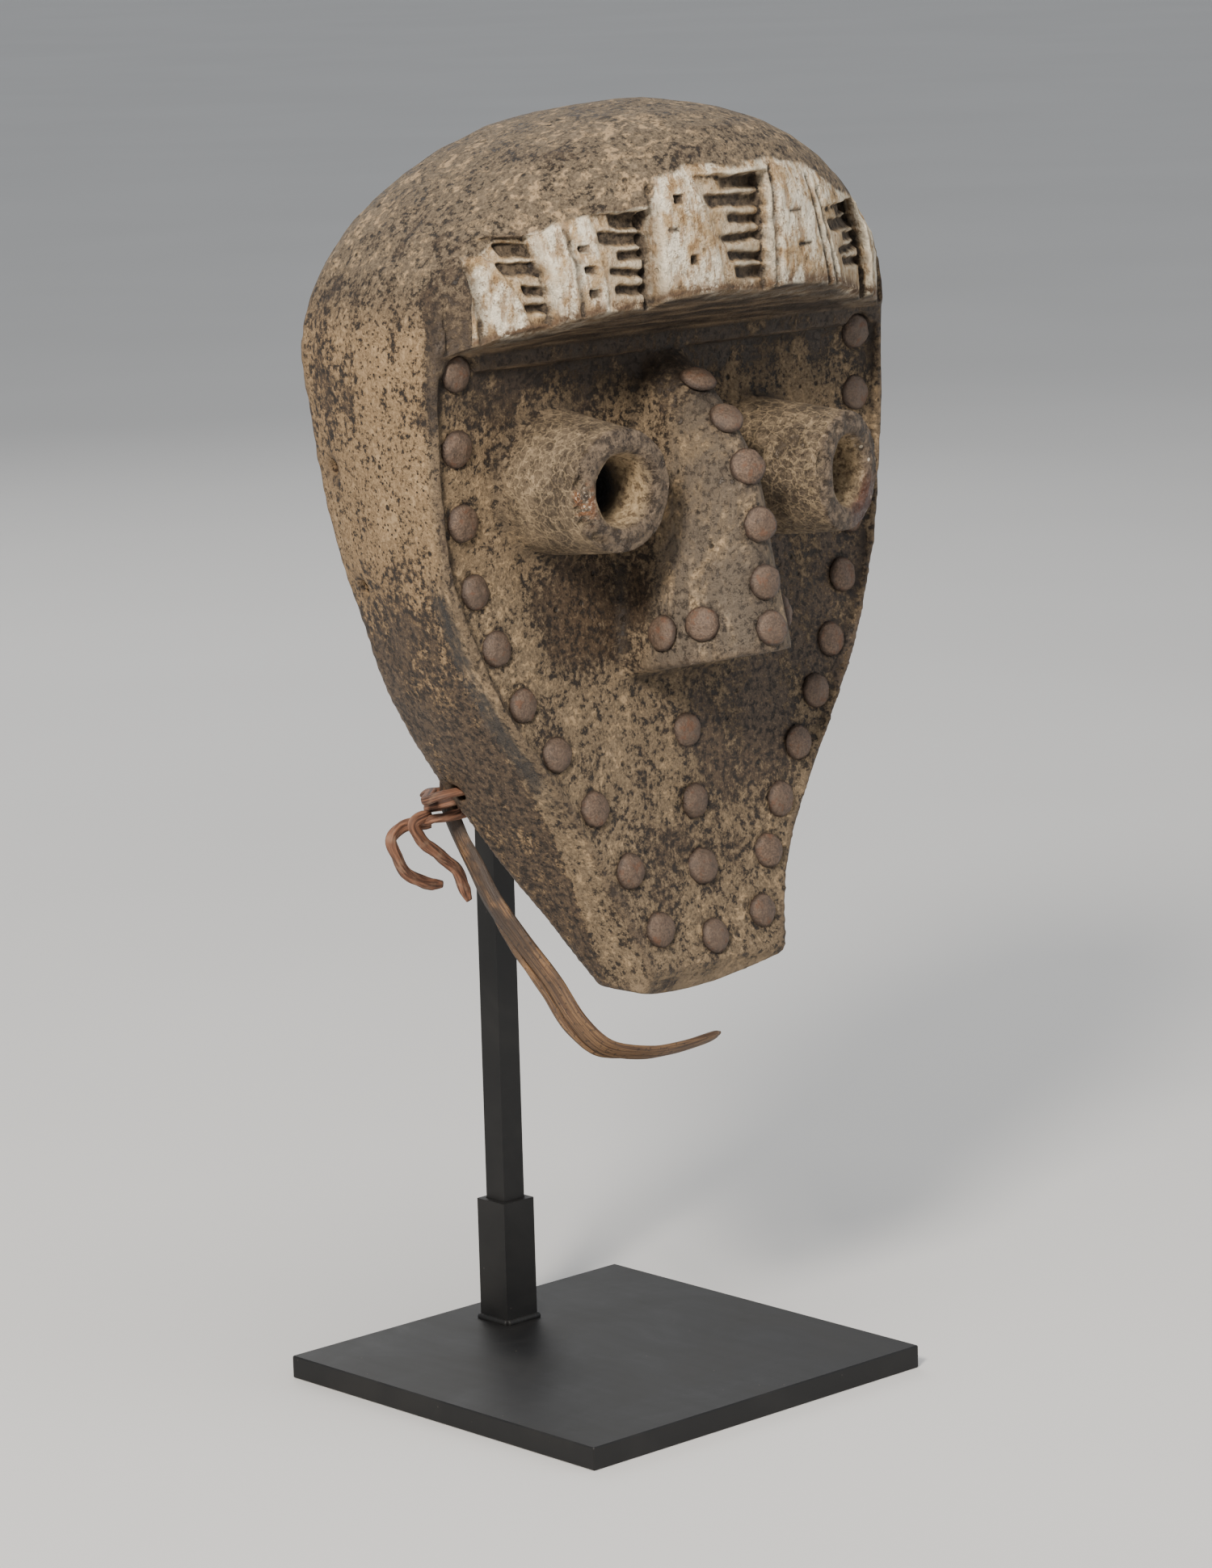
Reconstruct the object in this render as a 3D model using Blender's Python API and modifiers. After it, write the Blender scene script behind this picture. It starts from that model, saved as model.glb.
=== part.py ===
"""A carved wooden mask with tube eyes and a notched brow visor, on its black steel display stand.

Metres, +Z up. The mask looks along -Y. The origin is the middle of the base plate's underside.
"""

import math

import bmesh
import bpy
import numpy as np
from mathutils import Matrix, Vector
from mathutils.bvhtree import BVHTree

# Mask: overall size and place
MASK_HEIGHT = 0.254
MASK_WIDTH = 0.176
MASK_DEPTH = 0.098
CHIN_HEIGHT = 0.121
RIM_Y = 0.020

# Mask: walls and carving
FLANK_WALL = 0.012
FACE_WALL = 0.013
CROWN_WALL = 0.014
CHIN_WALL = 0.017
FLANK_BULGE = 0.004
BORDER_LIP = 0.0018
BORDER_STEP = 0.0020
VISOR_SLOPE = math.radians(21)
CHIN_BEVEL = 0.011
NOSE_WIDTH = 0.044
NOSE_FULLNESS = 1.75
NOSE_UNDERCUT = 0.22
NOSTRIL_BORE = 0.005

# Mask: eye tubes
EYE_SPACING = 0.0876
EYE_REACH = 0.0310
EYE_END_RADIUS = 0.0170
EYE_ROOT_RADIUS = 0.0212
EYE_SPLAY_LEFT = math.radians(1)
EYE_SPLAY_RIGHT = math.radians(17)
EYE_BORE = 0.0150
EYE_MOUTH = 0.0265
EYE_MOUTH_DEPTH = 0.011
EYE_HEIGHT_OFFSET = 0.0020

# Mask: visor ladders, each with its left and right edge, its height and its number of cuts
LADDER_CUT = 0.0048
LADDER_CUT_LEFT = 0.0012
RUNG_HEIGHT = 0.0028
RUNG_CUT = 0.0022

# Holes for lashing
LASHING_BORE = 0.0052
LASHING_FROM_RIM = 0.010
TIE_HOLE_FROM_RIM = 0.005

# Tacks
TACK_HEAD = 0.0106
TACK_DOME = 0.0026
TACK_SHANK = 0.0022
TACK_LENGTH = 0.0070
TACK_SINK = 0.0004
TACK_FROM_BORDER = 0.0095
TACK_TURN = math.radians(23)

# Stand
PLATE_SIDE = 0.131
PLATE_THICK = 0.0068
PLATE_BEVEL = 0.0004
POST_SIDE = 0.008
POST_X = 0.004
POST_Y = 0.0465
POST_ABOVE_ARM = 0.016
SLEEVE_SIDE = 0.0120
SLEEVE_HEIGHT = 0.0372
ARM_DIAMETER = 0.0060
PAD_THICK = 0.0030
CROWN_PAD = 0.0140
CHIN_PAD = 0.0120
UPPER_ARM_DROP = 0.053
LOWER_ARM_HEIGHT = 0.176

# Rattan hoop and its fibre tie
HOOP_WIDTH = 0.0090
HOOP_TIED_WIDTH = 0.0062
HOOP_THICK = 0.0032
TIE_DIAMETER = 0.0030

# Clearance between two pieces
GAP = 0.0003

HALF = MASK_WIDTH / 2


def smooth_line(*points):
    """A smooth function through (place, value) points, with each slope read off its neighbours."""
    places = np.array([point[0] for point in points], float)
    values = np.array([point[1] for point in points], float)
    slopes = np.gradient(values, places)

    def value(place):
        place = min(max(place, places[0]), places[-1])
        i = min(int(np.searchsorted(places, place, side="right")), len(places) - 1)
        step = places[i] - places[i - 1]
        t = (place - places[i - 1]) / step
        start, end = values[i - 1], values[i]
        bend = (2 * t**3 - 3 * t**2 + 1) * start + (3 * t**2 - 2 * t**3) * end
        tangent = (t**3 - 2 * t**2 + t) * slopes[i - 1] + (t**3 - t**2) * slopes[i]
        return float(bend + tangent * step)

    return value


# Profiles of the carved block. Levels run from 0 at the chin to 1 at the crown. Widths are shares of
# the half width, and depths are shares of the mask's depth, forward of its back plane.
flank_width = smooth_line(
    (0, 0.26), (0.035, 0.31), (0.09, 0.39), (0.16, 0.50), (0.24, 0.62), (0.31, 0.725), (0.36, 0.785),
    (0.425, 0.83), (0.49, 0.865), (0.57, 0.90), (0.65, 0.93), (0.76, 0.965), (0.815, 0.915),
    (0.862, 0.835), (0.909, 0.70), (0.941, 0.575), (0.965, 0.45), (0.985, 0.29), (1, 0.02),
)
border_width = smooth_line(
    (0, 0.27), (0.035, 0.29), (0.09, 0.335), (0.16, 0.42), (0.24, 0.55), (0.30, 0.67), (0.36, 0.785),
    (0.425, 0.87), (0.49, 0.935), (0.57, 0.97), (0.65, 0.985), (0.76, 0.975), (0.815, 0.945),
    (0.862, 0.86), (0.909, 0.71), (0.941, 0.58), (0.965, 0.45), (0.985, 0.29), (1, 0.02),
)
rim_depth = smooth_line(
    (0, 0.54), (0.067, 0.43), (0.126, 0.35), (0.185, 0.265), (0.26, 0.20), (0.31, 0.16), (0.386, 0.12),
    (0.46, 0.08), (0.53, 0.03), (0.60, 0.01), (0.70, 0), (1, 0),
)
dome_depth = smooth_line(
    (0.76, 0), (0.815, 0.03), (0.862, 0.08), (0.909, 0.14), (0.941, 0.20), (0.965, 0.265), (0.985, 0.35), (1, 0.47)
)
face_depth = smooth_line(
    (0, 0.79), (0.035, 0.755), (0.09, 0.715), (0.16, 0.675), (0.24, 0.65), (0.30, 0.63), (0.36, 0.605),
    (0.425, 0.585), (0.49, 0.567), (0.57, 0.56), (0.65, 0.56), (0.76, 0.567),
)
temple_depth = smooth_line((0.76, 0.594), (0.83, 0.60), (0.88, 0.59), (0.933, 0.57), (0.965, 0.54), (1, 0.48))
front_depth = smooth_line(
    (0, 0.88), (0.5, 0.92), (0.76, 0.95), (0.86, 0.95), (0.933, 0.92), (0.965, 0.84), (0.985, 0.73),
    (1, 0.49),
)
back_depth = smooth_line(
    (0, 0.42), (0.26, 0), (0.5, -0.2), (0.76, -0.25), (0.862, -0.18), (0.909, -0.10), (0.941, -0.05),
    (0.965, 0.03), (0.985, 0.18), (1, 0.46),
)
front_fullness = smooth_line((0, 0.85), (0.83, 0.85), (0.9, 0.7), (1, 0.5))
step_fade = smooth_line((0.15, 0), (0.20, 0.15), (0.27, 0.9), (0.32, 1), (1, 1))
hollow_front = smooth_line((0.70, 0.43), (0.80, 0.45), (0.88, 0.45), (0.95, 0.38), (1, 0.21))
hollow_back = smooth_line((0.76, -0.4), (0.86, -0.4), (0.92, -0.1), (0.96, 0.07), (1, 0.19))
nose_ridge = smooth_line(
    (0, 0.995), (0.09, 0.985), (0.22, 0.965), (0.43, 0.95), (0.63, 0.905), (0.79, 0.82), (0.91, 0.71), (1, 0.59)
)
nose_width = smooth_line((0, 1), (0.22, 0.86), (0.43, 0.73), (0.63, 0.60), (0.79, 0.50), (1, 0.38))
NOSE_LEVELS = (0.405, 0.725)
UNDERSIDE_LEVEL = 0.748
UNDERSIDE_DEPTH = 0.59

# Ladder panels of the visor: left edge, right edge and top as shares, and the number of cuts
LADDERS = ((-0.82, -0.675, 0.868, 4), (-0.54, -0.352, 0.892, 5), (-0.165, 0.108, 0.928, 6), (0.40, 0.77, 0.878, 5))

# Tacks down the left border, by level; the right border has one more, closer together
LEFT_TACKS = (0.727, 0.646, 0.566, 0.490, 0.426, 0.361, 0.302, 0.236, 0.161, 0.092)
RIGHT_TACKS = (0.718, 0.648, 0.578, 0.508, 0.442, 0.372, 0.318, 0.264, 0.205, 0.151, 0.088)
NOSE_TACKS = (0.695, 0.656, 0.605, 0.543, 0.480, 0.430)
CHIN_TACKS = (0.302, 0.223, 0.150, 0.073)
NOSE_SIDE_TACKS = ((-0.957, 0.426), (-0.76, 0.438), (0.76, 0.438))
LASHING_LEVELS = (0.617, 0.484)
TIE_LEVEL = 0.247


def level_z(level):
    return CHIN_HEIGHT + level * MASK_HEIGHT


def depth_y(depth):
    return RIM_Y - depth * MASK_DEPTH


def face_y(level):
    return depth_y(face_depth(level))


def new_collection(name):
    collection = bpy.data.collections.new(name)
    bpy.context.scene.collection.children.link(collection)
    return collection


for old in list(bpy.data.objects):
    bpy.data.objects.remove(old)
PIECES = new_collection("tube_eyed_mask")
CUTTERS = new_collection("cutters")


def material(name, colour, roughness, metallic=0.0):
    finish = bpy.data.materials.new(name)
    finish.use_nodes = True
    shader = finish.node_tree.nodes["Principled BSDF"]
    shader.inputs["Base Color"].default_value = (*colour, 1)
    shader.inputs["Roughness"].default_value = roughness
    shader.inputs["Metallic"].default_value = metallic
    return finish


DARK_WOOD = material("dark_wood", (0.16, 0.105, 0.062), 0.7)
OLD_IRON = material("oxidised_tack", (0.17, 0.10, 0.07), 0.5, 0.6)
BLACK_STEEL = material("black_painted_steel", (0.012, 0.012, 0.013), 0.45, 0.3)
FELT = material("black_felt", (0.02, 0.02, 0.02), 0.95)
RATTAN = material("rattan", (0.33, 0.18, 0.07), 0.6)
FIBRE = material("dried_fibre", (0.16, 0.075, 0.045), 0.75)


def add_object(name, mesh, finish=None):
    """Put a mesh in the scene: a piece with its finish, or a cutter without one."""
    item = bpy.data.objects.new(name, mesh)
    if finish:
        PIECES.objects.link(item)
        mesh.materials.append(finish)
        mesh.shade_smooth()
        mesh.set_sharp_from_angle(angle=math.radians(35))
    else:
        CUTTERS.objects.link(item)
        item.hide_render = True
        item.display_type = "WIRE"
    return item


def from_bmesh(name, form, finish=None):
    bmesh.ops.recalc_face_normals(form, faces=form.faces)
    mesh = bpy.data.meshes.new(name)
    form.to_mesh(mesh)
    form.free()
    return add_object(name, mesh, finish)


def loft(name, rings, finish=None):
    """Join rings with the same number of points into one closed body with flat ends."""
    form = bmesh.new()
    rows = [[form.verts.new(point) for point in ring] for ring in rings]
    for low, high in zip(rows, rows[1:]):
        for i in range(len(low)):
            j = (i + 1) % len(low)
            form.faces.new((low[i], low[j], high[j], high[i]))
    form.faces.new(rows[0][::-1])
    form.faces.new(rows[-1])
    return from_bmesh(name, form, finish)


def mirrored(half, z):
    """A closed ring from its half outline, which runs from the back middle to the front middle."""
    right = [(x, y, z) for x, y in half]
    left = [(-x, y, z) for x, y in half[-2:0:-1]]
    return right + left


def box(name, low, high, finish=None):
    form = bmesh.new()
    bmesh.ops.create_cube(form, size=1)
    size = Vector(high) - Vector(low)
    bmesh.ops.scale(form, vec=size, verts=form.verts)
    bmesh.ops.translate(form, vec=(Vector(high) + Vector(low)) / 2, verts=form.verts)
    return from_bmesh(name, form, finish)


def bevel(item, width, segments=1):
    modifier = item.modifiers.new("edges", "BEVEL")
    modifier.width = width
    modifier.segments = segments


def along(axis):
    """The turn that lays a cylinder's own +Z along an axis."""
    return Vector(axis).to_track_quat("Z", "Y").to_matrix().to_4x4()


def rod(form, start, axis, length, radius, end_radius=None, sides=24, turn=0.0):
    """Add a straight round bar or cone to a mesh, from its start along an axis."""
    middle = Vector(start) + Vector(axis).normalized() * length / 2
    bmesh.ops.create_cone(
        form, cap_ends=True, segments=sides, radius1=radius,
        radius2=radius if end_radius is None else end_radius,
        depth=length, matrix=Matrix.Translation(middle) @ along(axis) @ Matrix.Rotation(turn, 4, "Z"),
    )


def boolean(target, tool, operation="DIFFERENCE"):
    modifier = target.modifiers.new(tool.name, "BOOLEAN")
    modifier.operation = operation
    modifier.solver = "EXACT"
    modifier.object = tool


def evaluated_mesh(item):
    depsgraph = bpy.context.evaluated_depsgraph_get()
    return bpy.data.meshes.new_from_object(item.evaluated_get(depsgraph))


# Mask: the carver's block
def block_ring(level, spans=(4, 5, 8)):
    """The block's level outline: round back, bulging flank, and a front arc between the temples."""
    back_steps, flank_steps, front_steps = spans
    rim_x = flank_width(level) * HALF
    rim_y = depth_y(rim_depth(level) if level < 0.76 else dome_depth(level))
    temple_x = border_width(level) * HALF
    if level < UNDERSIDE_LEVEL:
        temple_y = face_y(level) - BORDER_STEP * step_fade(level)
    else:
        temple_y = depth_y(temple_depth(level))
    back_y = depth_y(back_depth(level))
    front_y = depth_y(front_depth(level))
    bulge = FLANK_BULGE * flank_width(level)
    half = []
    for k in range(back_steps):
        turn = math.radians(90) * k / back_steps
        half.append((rim_x * math.sin(turn), rim_y + (back_y - rim_y) * math.cos(turn)))
    for k in range(flank_steps):
        t = k / flank_steps
        out = bulge * math.sin(math.pi * t)
        half.append((rim_x + (temple_x - rim_x) * t + out, rim_y + (temple_y - rim_y) * t))
    for k in range(front_steps + 1):
        across = math.cos(math.radians(90) * k / front_steps)
        fullness = (1 - across**2) ** front_fullness(level)
        half.append((temple_x * across, temple_y + (front_y - temple_y) * fullness))
    return mirrored(half, level_z(level))


def block_levels():
    lower = [UNDERSIDE_LEVEL * k / 19 for k in range(19)]
    upper = [0.80 + 0.1985 * math.sin(math.radians(90) * k / 9) for k in range(10)]
    return lower + [UNDERSIDE_LEVEL, 0.775] + upper


def face_prism(name):
    """All that lies in front of the face: its top is the visor's underside, sloping down and back."""
    out_y = depth_y(1.6)
    underside_y = depth_y(UNDERSIDE_DEPTH)
    top_z = level_z(UNDERSIDE_LEVEL)
    profile = [(out_y, top_z + (underside_y - out_y) * math.tan(VISOR_SLOPE)), (underside_y, top_z)]
    levels = [UNDERSIDE_LEVEL * k / 19 for k in range(18, -1, -1)]
    profile += [(face_y(level) - BORDER_STEP * step_fade(level), level_z(level)) for level in levels]
    below = level_z(-0.1)
    profile += [(depth_y(face_depth(0) + 0.04), below), (out_y, below)]
    return loft(name, [[(x, y, z) for y, z in profile] for x in (-MASK_WIDTH, MASK_WIDTH)])


def face_inset(name):
    """The shallow bed inside the border, where the face lies a step below its lip."""
    levels = [0.19 + (UNDERSIDE_LEVEL - 0.02 - 0.19) * k / 16 for k in range(17)]
    rings = []
    for level in levels:
        x = border_width(level) * HALF - BORDER_LIP
        near, far = face_y(level) - 2 * BORDER_STEP, face_y(level)
        rings.append([(-x, near, level_z(level)), (x, near, level_z(level)), (x, far, level_z(level)), (-x, far, level_z(level))])
    return loft(name, rings)


def back_prism(name):
    """All that lies behind the rim."""
    levels = [k / 14 for k in range(15)]
    out_y = RIM_Y + MASK_DEPTH
    profile = [(out_y, level_z(1.1)), (out_y, level_z(-0.1)), (depth_y(rim_depth(0) + 0.1), level_z(-0.1))]
    profile += [(depth_y(rim_depth(level)), level_z(level)) for level in levels]
    profile += [(RIM_Y, level_z(1.1))]
    return loft(name, [[(x, y, z) for y, z in profile] for x in (-MASK_WIDTH, MASK_WIDTH)])


def hollow(name):
    """The inside, an even wall behind the face and flanks, open at the back."""
    bottom, top = CHIN_HEIGHT + CHIN_WALL, level_z(1) - CROWN_WALL
    widest = flank_width(0.76) * HALF - FLANK_WALL
    rings = []
    for k in range(19):
        level = 0.03 + 0.965 * math.sin(math.radians(90) * (k / 18) ** 1.2)
        z = bottom + (top - bottom) * level
        shell_level = (z - CHIN_HEIGHT) / MASK_HEIGHT
        if level < 0.76:
            x = flank_width(shell_level) * HALF - FLANK_WALL
            rim_y = depth_y(rim_depth(shell_level))
        else:
            x = widest * flank_width(level) / flank_width(0.76)
            rim_y = depth_y(0.04 + 0.16 * (level - 0.76) / 0.24)
        front_y = face_y(shell_level) + FACE_WALL if shell_level < 0.70 else depth_y(hollow_front(level))
        back_y = depth_y(hollow_back(level))
        half = []
        for i in range(4):
            turn = math.radians(90) * i / 4
            across = math.sin(turn) if level > 0.76 else min(1, 0.5 * i)
            along_back = math.cos(turn) if level > 0.76 else min(1, 0.5 * (4 - i))
            half.append((x * across, rim_y + (back_y - rim_y) * along_back))
        for i in range(8):
            turn = math.radians(90) * i / 7
            half.append((x * math.cos(turn) ** 0.75, rim_y + (front_y - rim_y) * math.sin(turn) ** 0.75))
        rings.append(mirrored(half, z))
    return loft(name, rings)


def nose(name):
    """A broad rounded wedge, narrow at its root, with its underside cut back to the face."""
    low, high = NOSE_LEVELS
    rings = []
    for k in range(10):
        t = k / 9
        level = low + (high - low) * t
        x = nose_width(t) * NOSE_WIDTH / 2
        ridge_y = depth_y(nose_ridge(t))
        base_y = face_y(level)
        side_y = base_y + (ridge_y - base_y) * (0.42 - 0.2 * t)
        half = [(0, base_y + FACE_WALL / 3), (x, base_y + FACE_WALL / 3), (x, base_y), (x, side_y)]
        for i in range(1, 7):
            turn = math.radians(90) * i / 6
            across, ahead = math.cos(turn) ** (2 / NOSE_FULLNESS), math.sin(turn) ** (2 / NOSE_FULLNESS)
            half.append((x * max(0, across), side_y + (ridge_y - side_y) * ahead))
        lean = NOSE_UNDERCUT * (1 - t) ** 2
        ring = mirrored(half, level_z(level))
        rings.append([(px, py, pz - lean * (py - ridge_y)) for px, py, pz in ring])
    return loft(name, rings)


def eye_axis(side):
    splay = EYE_SPLAY_LEFT if side < 0 else EYE_SPLAY_RIGHT
    return Vector((side * math.sin(splay), -math.cos(splay), 0))


def eye_end(side):
    """The middle of a tube's end. The tube on the mask's left stands a little higher."""
    z = level_z(0.589) - side * EYE_HEIGHT_OFFSET
    return Vector((side * EYE_SPACING / 2, face_y(0.589) - EYE_REACH, z))


def eye_tubes(name):
    form = bmesh.new()
    root = FACE_WALL * 0.6
    for side in (-1, 1):
        length = EYE_REACH / -eye_axis(side).y + root
        start = eye_end(side) - eye_axis(side) * length
        rod(form, start, eye_axis(side), length, EYE_ROOT_RADIUS, EYE_END_RADIUS, 28)
    return from_bmesh(name, form)


def eye_bores(name):
    """Each eye's bore, with its wider mouth, as one turned cutter."""
    form = bmesh.new()
    profile = (
        (0, -EYE_REACH * 2.2), (EYE_BORE / 2, -EYE_REACH * 2.2), (EYE_BORE / 2, -EYE_MOUTH_DEPTH),
        (EYE_MOUTH / 2, 0), (EYE_MOUTH / 2, 0.004), (0, 0.004),
    )
    sides = 20
    for side in (-1, 1):
        place = Matrix.Translation(eye_end(side)) @ along(eye_axis(side))
        rings = []
        for radius, out in profile[1:-1]:
            turns = [math.tau * i / sides for i in range(sides)]
            rings.append([form.verts.new(place @ Vector((radius * math.cos(a), radius * math.sin(a), out))) for a in turns])
        for low, high in zip(rings, rings[1:]):
            for i in range(sides):
                j = (i + 1) % sides
                form.faces.new((low[i], low[j], high[j], high[i]))
        form.faces.new(rings[0][::-1])
        form.faces.new(rings[-1])
    return from_bmesh(name, form)


def visor_surface(x, level=0.82):
    """The visor's front at a distance from the middle, and its outward direction in plan."""
    temple_x = border_width(level) * HALF
    temple_y, front_y = depth_y(temple_depth(level)), depth_y(front_depth(level))

    def y_at(place):
        return temple_y + (front_y - temple_y) * max(0, 1 - (place / temple_x) ** 2) ** front_fullness(level)

    step = 0.001
    along_x = Vector((2 * step, y_at(x + step) - y_at(x - step), 0)).normalized()
    return Vector((x, y_at(x), 0)), Vector((along_x.y, -along_x.x, 0))


def ladder_cutters():
    """Saw-tooth panels between the visor's ribs, each cut deepest at its right, and their rung cuts."""
    panels, rungs = bmesh.new(), bmesh.new()
    bottom_z = level_z(UNDERSIDE_LEVEL) - RUNG_HEIGHT
    out = 3 * LADDER_CUT
    for left, right, top, count in LADDERS:
        start, start_out = visor_surface(left * HALF)
        end, end_out = visor_surface(right * HALF)
        foot = [start - start_out * LADDER_CUT_LEFT, end - end_out * LADDER_CUT, end + end_out * out, start + start_out * out]
        top_z = level_z(top)
        prism(panels, foot, bottom_z, top_z)
        run = (foot[1] - foot[0]).normalized()
        inward = Vector((-run.y, run.x, 0))
        near, far = foot[0] + run * 0.0015, foot[1] - run * 0.0007
        panel = [near + inward * RUNG_CUT, far + inward * RUNG_CUT, far - inward * out, near - inward * out]
        low_z = level_z(0.79)
        pitch = (top_z - low_z) / count
        for k in range(count):
            z = low_z + pitch * (k + 0.25)
            prism(rungs, panel, z, z + RUNG_HEIGHT)
    return from_bmesh("ladder_panels", panels), from_bmesh("ladder_rungs", rungs)


def prism(form, foot, low, high):
    """Add an upright prism on a plan outline to a mesh."""
    lower = [form.verts.new((point.x, point.y, low)) for point in foot]
    upper = [form.verts.new((point.x, point.y, high)) for point in foot]
    for i in range(len(foot)):
        j = (i + 1) % len(foot)
        form.faces.new((lower[i], lower[j], upper[j], upper[i]))
    form.faces.new(lower[::-1])
    form.faces.new(upper)


def chin_bevel(name):
    """The flat facet across the chin's front lower edge."""
    middle = Vector((0, depth_y(face_depth(0.03)), level_z(0.03)))
    high = middle + Vector((0, 0, CHIN_BEVEL * 0.5))
    low = middle + Vector((0, CHIN_BEVEL * 0.5, -CHIN_BEVEL * 0.2))
    run = (high - low).normalized()
    out = Vector((0, -run.z, run.y))
    corners = [low - run * 0.03, high + run * 0.03, high + run * 0.03 + out * 0.03, low - run * 0.03 + out * 0.03]
    return loft(name, [[(x, c.y, c.z) for c in corners] for x in (-HALF, HALF)])


def lashing_hole(level, side, from_rim=LASHING_FROM_RIM):
    """Where a lashing hole crosses the flank, near the rim."""
    y = depth_y(rim_depth(level)) - from_rim
    return Vector((side * flank_width(level) * HALF, y, level_z(level)))


def small_bores(name):
    """Two lashing holes through each flank, one more for the tie, and the pierced nostril."""
    form = bmesh.new()
    holes = [(lashing_hole(level, side), side) for side in (-1, 1) for level in LASHING_LEVELS]
    holes.append((lashing_hole(TIE_LEVEL, -1, TIE_HOLE_FROM_RIM), -1))
    for place, side in holes:
        start = place + Vector((side * 2 * FLANK_BULGE, 0, 0))
        rod(form, start, (-side, 0, 0), 2 * FLANK_BULGE + 1.8 * FLANK_WALL, LASHING_BORE / 2, sides=10)
    nostril = Vector((-0.24 * NOSE_WIDTH, depth_y(0.78), level_z(NOSE_LEVELS[0]) - 0.010))
    rod(form, nostril, (0, 0.35, 1), 0.022, NOSTRIL_BORE / 2, sides=8)
    return from_bmesh(name, form)


def chin_underside(name):
    """All that lies below the chin's rounded underside."""
    levels = [k / 8 for k in range(-8, 9)]
    arc = [(t * 0.5 * HALF, level_z(0.015 + 0.012 * t + 0.04 * t**2)) for t in levels]
    profile = [(0.5 * HALF, level_z(-0.2)), (-0.5 * HALF, level_z(-0.2))] + arc
    return loft(name, [[(x, y, z) for x, z in profile] for y in (RIM_Y, depth_y(1.2))])


mask = loft("mask", [block_ring(level) for level in block_levels()], DARK_WOOD)
for tool, operation in (
    (back_prism("behind_rim"), "DIFFERENCE"), (face_prism("before_face"), "DIFFERENCE"),
    (face_inset("face_bed"), "DIFFERENCE"), (nose("nose"), "UNION"), (eye_tubes("eye_tubes"), "UNION"),
    (hollow("hollow"), "DIFFERENCE"), (eye_bores("eye_bores"), "DIFFERENCE"),
    (chin_underside("below_chin"), "DIFFERENCE"), (chin_bevel("chin_facet"), "DIFFERENCE"),
    (small_bores("small_bores"), "DIFFERENCE"),
):
    boolean(mask, tool, operation)
ladder_panels, ladder_rungs = ladder_cutters()
boolean(mask, ladder_panels)
mask.modifiers.new("flat_triangles", "TRIANGULATE")
boolean(mask, ladder_rungs)


# Tacks: domed heads on short shanks, each with its shallow seat in the wood
def tack_places():
    """Name, x and level of each tack."""
    def border(level):
        return border_width(level) * HALF - TACK_FROM_BORDER

    for k, level in enumerate(LEFT_TACKS):
        yield f"tack_left_{k + 1:02d}", -border(level), level
    for k, level in enumerate(RIGHT_TACKS):
        yield f"tack_right_{k + 1:02d}", border(level), level
    for k, level in enumerate(NOSE_TACKS):
        yield f"tack_nose_{k + 1:02d}", 0, level
    for k, level in enumerate(CHIN_TACKS):
        yield f"tack_chin_{k + 1:02d}", 0, level
    low, high = NOSE_LEVELS
    for k, (share, level) in enumerate(NOSE_SIDE_TACKS):
        yield f"tack_nose_side_{k + 1:02d}", share * nose_width((level - low) / (high - low)) * NOSE_WIDTH / 2, level


def tack_mesh():
    """Head and shank as one turned form, its head's underside at zero and its dome along +Z."""
    form = bmesh.new()
    radius = TACK_HEAD / 2
    head_sides, shank_sides = 12, 6
    rings = [(radius, 0), (radius * 0.72, TACK_DOME * 0.74)]
    rows = []
    for ring_radius, z in rings:
        turns = [math.tau * i / head_sides for i in range(head_sides)]
        rows.append([form.verts.new((ring_radius * math.cos(a), ring_radius * math.sin(a), z)) for a in turns])
    top = form.verts.new((0, 0, TACK_DOME))
    turns = [math.tau * i / shank_sides for i in range(shank_sides)]
    neck = [form.verts.new((TACK_SHANK / 2 * math.cos(a), TACK_SHANK / 2 * math.sin(a), 0)) for a in turns]
    point = form.verts.new((0, 0, -TACK_LENGTH))
    for low, high in zip(rows, rows[1:]):
        for i in range(head_sides):
            j = (i + 1) % head_sides
            form.faces.new((low[i], low[j], high[j], high[i]))
    for i in range(head_sides):
        form.faces.new((rows[-1][i], rows[-1][(i + 1) % head_sides], top))
    for i in range(shank_sides):
        j = (i + 1) % shank_sides
        a, b, c = rows[0][2 * i], rows[0][2 * i + 1], rows[0][(2 * i + 2) % head_sides]
        form.faces.new((neck[i], b, a))
        form.faces.new((neck[i], neck[j], b))
        form.faces.new((neck[j], c, b))
        form.faces.new((neck[j], neck[i], point))
    bmesh.ops.recalc_face_normals(form, faces=form.faces)
    mesh = bpy.data.meshes.new("tack")
    form.to_mesh(mesh)
    form.free()
    mesh.materials.append(OLD_IRON)
    mesh.shade_smooth()
    return mesh


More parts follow.
